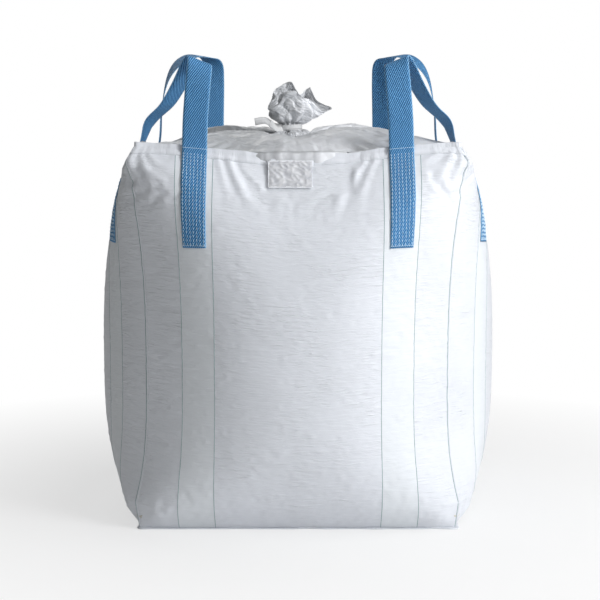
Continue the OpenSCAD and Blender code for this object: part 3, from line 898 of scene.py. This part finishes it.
def make_ribbon(name, outer, inner, lengths, material):
    """A closed flat band from rows of points on its outer and inner face; its edges are rounded."""
    rows, columns = outer.shape[:2]
    middle = (outer + inner) / 2
    round_off = (1 - 0.55 * np.abs(ACROSS) ** 10)[None, :, None]
    outer, inner = middle + (outer - middle) * round_off, middle + (inner - middle) * round_off
    ring = np.concatenate([outer, inner[:, ::-1]], 1)
    faces = grid_faces(rows, 2 * columns, wrap=True)
    top = (rows - 1) * 2 * columns
    last = 2 * columns - 1
    for j in range(columns - 1):
        faces.append([j + 1, j, last - j, last - j - 1])
        faces.append([top + j, top + j + 1, top + last - j - 1, top + last - j])
    across = np.concatenate([ACROSS, ACROSS[::-1]]) * WEBBING_W / 2
    return make_mesh(name, ring, faces, material, grid_uv(across, lengths))


def loop_bight(corner):
    """Middle line, width directions and outward normals of the free part of one corner's loop."""
    in_front = corner[1] < 0
    leg_share = LEG_OFFSET / HALF_PANEL
    start = smooth_wall(0, np.array([leg_share]), np.array([1.0]))[0]
    begin = np.array([start[0], -MOUTH_HALF - WEBBING_T / 2, rim_z(leg_share) + HINGE_GAP])
    run = MOUTH_HALF + WEBBING_T / 2 - begin[0]
    stops = FRONT_STOPS if in_front else BACK_STOPS
    reach = np.array([run, run, FRONT_RISE if in_front else BACK_RISE])
    places = np.linspace(0, len(stops) - 1, 72)
    middle = begin + spline([place for place, _ in stops], places) * reach
    widths = spline([width for _, width in stops], places)
    heading = unit(np.gradient(middle, axis=0))
    widths = unit(widths - (widths * heading).sum(-1, keepdims=True) * heading)
    normals = -np.cross(heading, widths)
    mirror = np.array([corner[0], -corner[1], 1.0])
    return middle * mirror, widths * mirror, normals * mirror


def leg_rows(skin, face, side, skew, direction):
    """Outer and inner points of one sewn leg, from its foot up to just above the rim."""
    q = (side * LEG_OFFSET + direction * ACROSS * WEBBING_W / 2)[None, :] / HALF_PANEL
    v = np.linspace(LEG_FOOT, 1, 34)[:, None]
    tilt = skew * ACROSS[None, :] * (1 - smooth_step(v, LEG_FOOT, LEG_FOOT + 0.03))
    lift = 0.0006 + 0.0022 * smooth_step(v, 0.955, 0.985)
    normal = skin.normal_at(face, q, v)
    inner = skin.at(face, q, v + tilt) + normal * lift[..., None]
    return inner + normal * WEBBING_T, inner


def matched(leg, band_end):
    """The leg, turned over where its columns run against those of the free part's end."""
    outer, inner = leg
    straight = np.linalg.norm(outer[-1, 0] - band_end[0])
    crossed = np.linalg.norm(outer[-1, -1] - band_end[0])
    if straight > crossed:
        return outer[:, ::-1], inner[:, ::-1]
    return leg


def ease_joins(points, joins):
    """Smooths the band a little where each leg leaves the rim."""
    for join in joins:
        for _ in range(6):
            part = points[join - 3:join + 4].copy()
            points[join - 2:join + 3] = 0.5 * part[1:-1] + 0.25 * (part[:-2] + part[2:])


def make_loop(skin, corner_name, material, legs):
    """One strap: a leg down the front or back wall, the free part, and a leg down the side wall."""
    corner = CORNERS[corner_name]
    middle, widths, normals = loop_bight(corner)
    thick = normals[:, None] * WEBBING_T / 2
    band = middle[:, None] + widths[:, None] * ACROSS[None, :, None] * (WEBBING_W / 2)
    first_face = 0 if corner[1] < 0 else 2
    second_face = 1 if corner[0] > 0 else 3
    first_side = corner[0] if first_face == 0 else -corner[0]
    second_side = corner[1] if second_face == 1 else -corner[1]
    skews = random.uniform(-0.004, 0.004, 2)
    first = matched(leg_rows(skin, first_face, first_side, skews[0], 1), band[0])
    second = matched(leg_rows(skin, second_face, second_side, skews[1], -1), band[-1])
    outer = np.concatenate([first[0], (band + thick)[3:-3], second[0][::-1]])
    inner = np.concatenate([first[1], (band - thick)[3:-3], second[1][::-1]])
    leg_length = len(first[0])
    for points in (outer, inner):
        ease_joins(points, (leg_length, len(points) - leg_length))
    for face, part in ((first_face, outer[:leg_length]), (second_face, outer[::-1][:leg_length])):
        legs[WALLS[face]].append(part.copy())
    lengths = run_lengths((outer + inner)[:, MID_ACROSS] / 2)
    if corner[0] * corner[1] > 0:
        outer, inner = outer[:, ::-1], inner[:, ::-1]
    piece = make_ribbon(f"{corner_name}_loop_webbing", outer, inner, lengths, material)
    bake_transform(piece)
    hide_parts(f"{corner_name}_loop_{WALLS[first_face]}_leg", f"{corner_name}_loop_side_leg",
                f"{corner_name}_loop_bight")


# ---------------------------------------------------------------- stitches

def stitch_places(length):
    """Distance up the leg, place across it, and whether it lies across, for each stitch of one leg."""
    places = []
    for line in np.linspace(-0.84, 0.84, 7):
        start = random.uniform(0, 0.003)
        for k in range(int(length * 0.93 / STITCH_PITCH)):
            up = 0.008 + start + k * STITCH_PITCH + random.normal(0, 0.0004)
            places.append((up, line + random.normal(0, 0.01), False))
    for k in range(13):
        for up in (length * 0.952, 0.006):
            places.append((up, -0.9 + k * 0.15, True))
    return places


def dash_points(centre, long_way, short_way, up, reach):
    """A raised dash of thread: four corners on the webbing and a ridge of two points. Reach is in mm."""
    shape = [(a * reach, b * 0.8, -0.2) for a, b in ((-1, -1), (1, -1), (1, 1), (-1, 1))]
    shape += [(0.8 - reach, 0, 0.9), (reach - 0.8, 0, 0.9)]
    return [centre + (long_way * a + short_way * b + up * c) * 0.001 for a, b, c in shape]


def make_stitches(skin, legs, material):
    """Dashes of light thread: rows down each leg, and a line across it at the rim and at its foot."""
    for face, wall in enumerate(WALLS):
        points, faces = [], []
        for outer in legs[wall]:
            run = run_lengths(outer[:, MID_ACROSS])
            rows, columns = outer.shape[:2]
            along = unit(np.gradient(outer, axis=0))
            across = unit(np.gradient(outer, axis=1))
            normal = unit(np.cross(across, along))
            if normal[0, MID_ACROSS] @ skin.normal_at(face, 0.0, LEG_FOOT) < 0:
                normal = -normal
            for distance, line, lies_across in stitch_places(run[-1]):
                row = np.interp(distance, run, np.arange(rows))
                column = (line + 1) / 2 * (columns - 1)
                i, j = min(int(row), rows - 2), min(int(column), columns - 2)
                centre = between(outer, i, j, j + 1, column - j, row - i)
                ways = (across[i, j], along[i, j]) if lies_across else (along[i, j], across[i, j])
                faces += [[len(points) + k for k in dash] for dash in DASH_FACES]
                points += dash_points(centre, *ways, normal[i, j], 1.9 if lies_across else 3.6)
        piece = make_mesh(f"{wall}_leg_stitches", points, faces, material)
        dress(piece, "bag", "loop_thread", f"{wall}_leg_stitching")


# ---------------------------------------------------------------- threads, seams and hems

def thread_rows(skin, face, q, width, height, v):
    """Cross-sections of a thread that runs up the wall at share q."""
    return np.stack([skin.at(face, q + across * width / 2 / HALF_PANEL, v, up * height)
                     for across, up in THREAD_SHAPE], 1)


def make_threads(skin, material):
    """Marker threads up each wall, one on either side of each leg."""
    v = np.linspace(0.004, 0.999, 190)
    pieces = []
    for face, wall in enumerate(WALLS):
        offsets = [side * (LEG_OFFSET + away) for side in (-1, 1) for away in (-THREAD_OFFSET, THREAD_OFFSET)]
        grids = [thread_rows(skin, face, offset / HALF_PANEL, 0.0020, 0.0006, v) for offset in offsets]
        faces = []
        for grid in range(len(grids)):
            first = grid * len(v) * len(THREAD_SHAPE)
            faces += grid_faces(len(v), len(THREAD_SHAPE), wrap=True, first=first)
        piece = make_mesh(f"{wall}_marker_lines", grids, faces, material)
        pieces.append(dress(piece, "bag", "marker_thread", f"{wall}_marker_threads"))
    return pieces


def make_corner_seams(skin, fabric, thread):
    """A ridge of folded fabric up each corner, with a line of thread beside it."""
    v = np.linspace(0.003, 0.998, 170)
    pieces = []
    for face, corner_name in enumerate(CORNERS):
        rows = thread_rows(skin, face, 1.0, 0.007, 0.0012, v)
        fold = make_strip(f"{corner_name}_corner_fold", rows, fabric)
        pieces.append(dress(fold, "bag", "woven_fabric", f"{corner_name}_corner_seam"))
        rows = thread_rows(skin, face, 0.988, 0.0020, 0.0010, v)
        line = make_strip(f"{corner_name}_corner_thread", rows, thread)
        pieces.append(dress(line, "bag", "marker_thread"))
    return pieces


def make_hem(skin, material):
    """Folded double hem that stands along the rim."""
    faces, q = ring_coordinates(skin.columns)
    wave = ring_wave(len(q), 12, 0.0014)
    top = skin.at(faces, q, 1.0)
    low = skin.at(faces, q, 1 - 0.022 / RIM_H)
    lip = top + UP * (0.0095 + wave)[:, None]
    out = unit(skin.sample(skin.normals, faces, q, 0.985) * LEVEL)
    profile = ((low, 0.0004, 0), (low, 0.0010, 0.001), ((low + top) / 2, 0.0012, 0), (top, 0.0011, 0),
               (lip, 0.0008, 0), (lip, -0.0004, 0.001), (lip, -0.0022, 0), (top, -0.003, 0),
               (low, -0.0028, 0))
    grid = np.stack([place + out * away + UP * above for place, away, above in profile], 1)
    piece = make_strip("rim_hem_fold", grid, material, closed=True, uv_width=0.07)
    return dress(piece, "bag", "woven_fabric", "rim_hem")


def make_base(skin, material):
    """Flat sheet under the contents."""
    foot = skin.grid[0]
    columns = len(foot)
    shares = (0.997, 0.97, 0.9, 0.7, 0.4, 0.15)
    rings = [foot * LEVEL * share + UP * BASE_Z for share in shares]
    faces = [face[::-1] for face in grid_faces(len(rings), columns, wrap=True)]
    centre = len(rings) * columns
    last = centre - columns
    faces += [[last + j, centre, last + (j + 1) % columns] for j in range(columns)]
    points = np.concatenate([*rings, [UP * BASE_Z]])
    base = make_mesh("base_panel_cloth", points, faces, material, points[:, :2])
    thicken(base, 0.0008)
    dress(base, "bag", "woven_fabric", "base_panel")


def make_base_seam(skin, material):
    """Uneven lip of folded fabric that lies on the ground round the base."""
    level = skin.grid[0] * LEVEL
    out = unit(skin.normals[2] * LEVEL)
    wave = ring_wave(len(level), 7, 1)[:, None]
    reach = 0.0085 + 0.0016 * wave
    lift = 0.0022 + 0.0007 * np.abs(wave)
    profile = ((-0.0015, lift + 0.003), (0.5 * reach, lift + 0.0016), (0.9 * reach, lift + 0.0012),
               (reach + 0.001, 0.6 * lift + 0.0004), (reach, 0.0003), (-0.002, 0.0004))
    lip = np.stack([level + out * away + UP * above for away, above in profile], 1)
    seam = make_strip("base_seam_lip", lip, material, closed=True, uv_width=0.03)
    return dress(seam, "bag", "woven_fabric", "base_seam")


# ---------------------------------------------------------------- duffle top

def swell(angle, s, towards, wide, s_middle, s_wide):
    """A soft mound on the dome. Degrees run counter-clockwise from +X, so -90 is the front."""
    turn = wrapped(angle - math.radians(towards))
    return np.exp(-(turn / math.radians(wide)) ** 2 - ((s - s_middle) / s_wide) ** 2)


def skirt_start(skin):
    """The dome of film from the rim (s is 0) to the neck (s is 1), with mounds, hollows and pleats."""
    faces, q = ring_coordinates(SKIRT_COLUMNS // 4)
    rim = skin.at(faces, q, 1.0)
    rim = rim * (1 - 0.006 / np.linalg.norm(rim[:, :2], axis=1, keepdims=True) * LEVEL)
    angle = np.arctan2(rim[:, 1], rim[:, 0])
    s = np.linspace(0, 1, SKIRT_ROWS)[:, None] ** 0.9
    neck_r = 0.030 * (1 + 0.16 * np.cos(9 * angle + 0.6))
    neck = np.stack([NECK_X + neck_r * np.cos(angle), neck_r * np.sin(angle)], -1)
    plan = rim[None, :, :2] * (1 - s[..., None]) + neck[None] * s[..., None]
    rim_height = rim[:, 2] + 0.004
    height = rim_height + (DOME_Z + 0.004 - rim_height) * (1 - (1 - s) ** 3)
    for lift, *place in SKIRT_SWELLS:
        height = height + lift * swell(angle, s, *place)
    height = height - 0.013 * np.exp(-((s - 0.84) / 0.13) ** 2)
    turns = 8 * angle / (2 * math.pi) + 0.35 * np.sin(2 * angle + 1) + 0.5 * s
    calm = 1 - 0.7 * np.exp(-(wrapped(angle + 0.9) / 0.7) ** 2)
    fade = smooth_step(s, 0.1, 0.5) * (1 - smooth_step(s, 0.9, 1.0))
    height = height + 0.026 * pleats(turns, 0.72) * calm * fade
    height = np.where(s > 0.985, np.maximum(height, DOME_Z + 0.006), height)
    noise = ring_noise(SKIRT_ROWS, SKIRT_COLUMNS, 1.6, 6, octaves=2)
    height = height + 0.009 * noise * np.sin(np.pi * np.clip(s, 0, 1)) ** 0.5
    return np.concatenate([plan, height[..., None]], -1)


def neck_gathers(angle):
    """Rows of the film, drawn into gathers, that run up through the tie."""
    rows = []
    for z, radius in ((DOME_Z + 0.010, 0.0325), (NECK_Z - 0.004, 0.031), (NECK_Z + 0.002, 0.0312)):
        r = radius * (1 + 0.07 * np.cos(17 * angle) + 0.03 * np.cos(29 * angle + 1))
        rows.append(np.stack([NECK_X + r * np.cos(angle), r * np.sin(angle), np.full(len(angle), z)], -1))
    return np.stack(rows)


def edge_rows(rim, lap, sway):
    """Rows that tuck the film down inside the hem, or over its front where lap is high."""
    out = unit(rim * LEVEL)
    rows = []
    for tuck_out, tuck_up, lap_out, lap_up in EDGE_PROFILE:
        hang = lap_up * sway if lap_up < 0 else lap_up
        away = (1 - lap) * tuck_out + lap * lap_out
        rows.append(rim + out * away + UP * ((1 - lap) * tuck_up + lap * hang))
    return np.stack(rows)


def make_skirt(skin, material):
    """Crumpled film over the mouth. A lap of it hangs over the middle of the front rim."""
    grid = settled_film("skirt_cloth", skirt_start(skin), (0, -1), 20, cap=0.016, growth=0.16, bending=0.6,
                        gravity=0.02)
    grid = finer_ring(grid)
    rows, columns = grid.shape[:2]
    share = np.linspace(0, 1, rows)[:, None]
    crumple = ridged(ring_noise(rows, columns, 5, 18, octaves=2))
    grid[..., 2] += 0.0018 * crumple * np.sin(np.pi * share) ** 0.4
    gathers = neck_gathers(np.arctan2(grid[-1, :, 1], grid[-1, :, 0] - NECK_X))
    lap_angle = wrapped(np.arctan2(grid[0, :, 1], grid[0, :, 0]) + math.radians(91))
    lap = np.exp(-(lap_angle / math.radians(15.5)) ** 4)
    sway = 1 + 0.35 * np.sin(lap_angle * 17 + 0.8) + 0.2 * np.sin(lap_angle * 41)
    hang = edge_rows(grid[0], lap[:, None], sway[:, None])
    grid = np.concatenate([hang, grid, gathers])
    creased = len(hang) + 6
    crinkle = ridged(ring_noise(creased, columns, 1.5, 40, octaves=2))
    grid[:creased, :, 1] -= 0.0042 * (crinkle + 1) * lap * np.linspace(1, 0.2, creased)[:, None]
    lengths = np.concatenate([[0], np.cumsum(np.linalg.norm(np.diff(grid, axis=0), axis=-1).mean(1))])
    uv = grid_uv(np.linspace(0, SKIRT_FLAT[0], columns), lengths)
    piece = make_mesh("duffle_skirt_film", grid, grid_faces(len(grid), columns, wrap=True), material, uv)
    thicken(piece, 0.0005)
    dress(piece, "bag", "duffle_film", "duffle_skirt")


def tail_start():
    """Pleated film that flares from the neck (s is 0) to the tail's edge (s is 1), centred on the neck."""
    edge = np.array(TAIL_EDGE)
    looped = np.concatenate([edge[-1:], edge, edge[:2]])
    rim = spline(looped, np.arange(TAIL_COLUMNS) / TAIL_COLUMNS * len(edge) + 1)
    angle = 2 * math.pi * np.arange(TAIL_COLUMNS) / TAIL_COLUMNS
    s = np.linspace(0, 1, TAIL_ROWS)[:, None]
    neck_r = 0.0285 * (1 + 0.12 * np.cos(11 * angle))
    foot = np.full(TAIL_COLUMNS, NECK_Z - 0.004)
    neck = np.stack([neck_r * np.cos(angle), neck_r * np.sin(angle), foot], -1)
    flare = s ** 1.25
    grid = neck[None] * (1 - flare[..., None]) + rim[None] * flare[..., None]
    grid[..., 2] = neck[None, :, 2] + (rim[None, :, 2] - neck[None, :, 2]) * s ** 0.85
    out = np.stack([np.cos(angle), np.sin(angle), 0 * angle], -1)[None]
    belly = np.sin(np.pi * np.clip(s, 0, 1)) ** 1.2
    waist = np.exp(-((s - 0.07) / 0.08) ** 2)
    turns = (5 * angle + 1.2 * np.sin(2 * angle)) / (2 * math.pi) + 0.9 * s
    noise = ring_noise(TAIL_ROWS, TAIL_COLUMNS, 1.4, 3, octaves=2)
    for push in (0.012 * belly, -0.008 * waist, 0.017 * pleats(turns, 0.75) * smooth_step(s, 0.02, 0.45),
                 0.010 * noise * smooth_step(s, 0.1, 0.5)):
        grid += out * push[..., None]
    return grid


def make_tail(material):
    """Free end of the film, which stands up from the tie."""
    grid = settled_film("tail_cloth", tail_start(), (0, 1, 2), 16, cap=0.012, growth=0.12, bending=0.4,
                        gravity=0.01)
    grid = finer_ring(grid)
    rows, columns = grid.shape[:2]
    crease = ridged(ring_noise(rows, columns, 5, 7, octaves=2))
    fade = smooth_step(np.linspace(0, 1, rows)[:, None], 0.05, 0.3)
    grid += ring_normals(grid) * (0.0015 * crease * fade)[..., None]
    grid[..., 0] += NECK_X
    uv = grid_uv(np.linspace(0, TAIL_PATTERN[0], columns), np.linspace(0, TAIL_PATTERN[1], rows))
    piece = make_mesh("duffle_tail_film", grid, grid_faces(rows, columns, wrap=True), material, uv)
    thicken(piece, 0.0006)
    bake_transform(piece)
    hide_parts("duffle_tail")


def tape_rows(centre, normal, width, half):
    """Cross-sections of a thin flat tape."""
    return np.stack([centre + width * a * half + normal * b * 0.0006 for a, b in TAPE_SHAPE], 1)


def make_tie(material):
    """Woven tape wound twice round the neck, with two loose ends towards the left."""
    turns = np.linspace(0, 2 * 2 * math.pi, 150)
    out = np.stack([np.cos(turns + 2.8), np.sin(turns + 2.8), 0 * turns], -1)
    radius = 0.0345 + 0.0011 * turns / 6
    centre = out * radius[:, None]
    centre[:, 0] += NECK_X
    centre[:, 2] = NECK_Z - 0.009 + 0.0016 * np.sin(turns * 1.5) + 0.0006 * turns
    band = make_strip("neck_tie_band", tape_rows(centre, out, UP, 0.0075), material, uv_width=0.032)
    dress(band, "bag", "tie_tape", "duffle_tie")
    for number, stops in enumerate(TIE_ENDS):
        places = np.linspace(0, len(stops) - 1, 30)
        centre = spline(stops, places) + np.array([NECK_X * 0.6, 0, 0])
        heading = unit(np.gradient(centre, axis=0))
        lean = (0.35 + 0.9 * np.sin(places * 1.3 + number))[:, None] / 2
        side = unit(np.cross(heading, UP))
        width = unit(unit(np.cross(side, heading)) * np.cos(lean) + side * np.sin(lean))
        rows = tape_rows(centre, unit(np.cross(width, heading)), width, 0.011)
        end = make_strip(f"neck_tie_end_{number + 1}", rows, material, uv_width=0.044)
        dress(end, "bag", "tie_tape")


# ---------------------------------------------------------------- document pouch and contents

def pouch_points(x, z, y):
    """From the wallet's own plane (x across, z up from its lower edge, y towards the wall) to the frame."""
    down = z - POUCH_H - POUCH_DROP
    cos, sin = math.cos(POUCH_LEAN), math.sin(POUCH_LEAN)
    return np.stack([POUCH_PIVOT.x + x - POUCH_W / 2, POUCH_PIVOT.y + y * cos + down * sin,
                     POUCH_PIVOT.z - y * sin + down * cos], -1)


def make_pouch_film(material):
    """Wallet of two films, the front one crumpled and bulging over the card."""
    columns, rows = 56, 40
    x, z = np.meshgrid(np.linspace(0, POUCH_W, columns), np.linspace(0, POUCH_H, rows))
    inside = np.clip(np.minimum(np.minimum(x, z), POUCH_H - z) / 0.012, 0, 1)
    crumple = np.zeros_like(x)
    for _ in range(26):
        turn = random.uniform(0, math.pi)
        wave = random.uniform(110, 420)
        phase = random.uniform(0, 6)
        crumple += np.sin((x * math.cos(turn) + z * math.sin(turn)) * wave + phase) / wave * 100
    crumple = ridged(crumple / np.abs(crumple).max())
    front = pouch_points(x, z, -0.0013 - inside * (0.0018 + 0.0018 * crumple))
    back = pouch_points(x, z, np.full_like(x, 0.0011))
    back_faces = grid_faces(rows, columns, first=rows * columns)
    faces = grid_faces(rows, columns) + [face[::-1] for face in back_faces]
    uv = np.stack([x, z], -1).reshape(-1, 2)
    piece = make_mesh("document_pouch_film", [front, back], faces, material, np.concatenate([uv, uv]))
    thicken(piece, 0.00025)
    dress(piece, "pouch", "pouch_film", "document_pouch")


def make_pouch_welds(material):
    """Welded bars along the wallet's top, left and lower edges; its right edge is open."""
    half = 0.0018
    count = 26
    path = ((POUCH_W - half, POUCH_H - half), (half, POUCH_H - half), (half, half), (POUCH_W - half, half))
    grids, faces = [], []
    for (x0, z0), (x1, z1) in zip(path, path[1:]):
        x, z = np.linspace(x0, x1, count), np.linspace(z0, z1, count)
        wide_x, wide_z = (half, 0) if abs(z1 - z0) > abs(x1 - x0) else (0, half)
        first = len(grids) * 4 * count
        faces += grid_faces(count, 4, wrap=True, first=first)
        faces += [[first + 3 - k for k in range(4)], [first + 4 * count - 4 + k for k in range(4)]]
        grids.append(np.stack([pouch_points(x + a * wide_x, z + a * wide_z, b * 0.0017 + 0 * x)
                               for a, b in ((-1, -1), (1, -1), (1, 1), (-1, 1))], 1))
    welds = make_mesh("document_pouch_welds", grids, faces, material, smooth=False)
    dress(welds, "pouch", "pouch_film")


def make_card(material):
    """Slightly curled sheet inside the wallet."""
    margin = 0.006
    x, z = np.meshgrid(np.linspace(margin, POUCH_W - margin, 40), np.linspace(margin, POUCH_H - margin, 28))
    curl = 0.0003 * np.sin(x * 160) * np.sin(z * 120)
    uv = np.stack([x, z], -1).reshape(-1, 2)
    sheet = make_mesh("document_card_sheet", pouch_points(x, z, curl), grid_faces(28, 40), material, uv)
    thicken(sheet, 0.0003)
    dress(sheet, "card", "card", "document_card")


def make_pouch_strip(skin, material):
    """Tape on the hem, which the wallet hangs from."""
    reach = POUCH_W / 2 + 0.004
    q = np.linspace(POUCH_PIVOT.x - reach, POUCH_PIVOT.x + reach, 40) / HALF_PANEL
    v = np.linspace(1 - 0.026, 1, 6)
    outer = [skin.at(0, q, row, 0.0036) for row in v]
    inner = [skin.at(0, q, row, 0.0022) for row in v[::-1]]
    piece = make_strip("pouch_hem_tape", np.stack(outer + inner, 1), material, uv_width=0.06)
    return dress(piece, "bag", "woven_fabric", "pouch_hem_strip")


def make_contents(material):
    """Fill of grains, just inside the walls and heaped up below the film."""
    faces, q = ring_coordinates(CONTENTS_COLUMNS)
    v = np.concatenate([[0.006], np.linspace(0.03, 0.965, 40)])[:, None]
    wall = smooth_wall(faces[None, :], q[None, :], v)
    wall -= ring_normals(wall) * np.where(v < 0.02, 0.014, 0.022)[..., None]
    wall[0, :, 2] = 0.004
    brim = wall[-1]
    top_z = DOME_Z - 0.030
    rings = [wall]
    for share in (0.06, 0.15, 0.3, 0.5, 0.7, 0.88):
        level = brim[:, 2] + (top_z - brim[:, 2]) * (1 - (1 - share) ** 3)
        rings.append(np.concatenate([brim[:, :2] * (1 - share), level[:, None]], 1)[None])
    grid = np.concatenate(rings)
    rows, columns = grid.shape[:2]
    centre = rows * columns
    last = centre - columns
    faces = grid_faces(rows, columns, wrap=True)
    faces += [[last + j, last + (j + 1) % columns, centre] for j in range(columns)]
    faces += [[(j + 1) % columns, j, centre + 1] for j in range(columns)]
    points = np.concatenate([grid.reshape(-1, 3), [UP * top_z, UP * 0.004]])
    dress(make_mesh("bulk_contents", points, faces, material), "bag", "fill", "bulk_fill")


def make_floor(material):
    half = 30
    corners = [(-half, -half, 0), (half, -half, 0), (half, half, 0), (-half, half, 0)]
    make_mesh("floor", corners, [[0, 1, 2, 3]], material, smooth=False)


# ---------------------------------------------------------------- build

make_camera()
make_studio()

FABRIC_COLOURS = (0.80, 0.82, 0.87), (0.71, 0.73, 0.77)
trim_fabric = fabric_material("woven_trim", *FABRIC_COLOURS, 0.42, 0.35, 0.6)
woven = fabric_material("woven_fabric", *FABRIC_COLOURS, 0.42, 0.4, 1.15, bands=True)
tape = fabric_material("tie_tape", (0.80, 0.80, 0.80), (0.66, 0.66, 0.66), 0.5, 0.6, 0.2)
marker = thread_material("marker_thread", (0.24, 0.34, 0.35), (0.38, 0.48, 0.49))
loop_thread = thread_material("loop_thread", (0.55, 0.76, 0.92), (0.78, 0.88, 0.96))
weld = thread_material("pouch_weld", (0.80, 0.82, 0.86), (0.90, 0.91, 0.93))
webbing = webbing_material()
film = duffle_material()

# Several makers draw random numbers, so their order is part of the look.
skin = make_skin()
make_contents(granule_material())
hem = make_hem(skin, trim_fabric)
make_base(skin, trim_fabric)
seam = make_base_seam(skin, trim_fabric)
threads = make_threads(skin, marker)
corners = make_corner_seams(skin, trim_fabric, marker)
strip = make_pouch_strip(skin, trim_fabric)
make_panels(skin, woven)
legs = {wall: [] for wall in WALLS}
for corner_name in CORNERS:
    make_loop(skin, corner_name, webbing, legs)
make_stitches(skin, legs, loop_thread)
make_skirt(skin, film)
make_tie(tape)
make_tail(film)
make_pouch_film(pouch_material())
make_pouch_welds(weld)
make_card(card_material())
make_floor(floor_material())
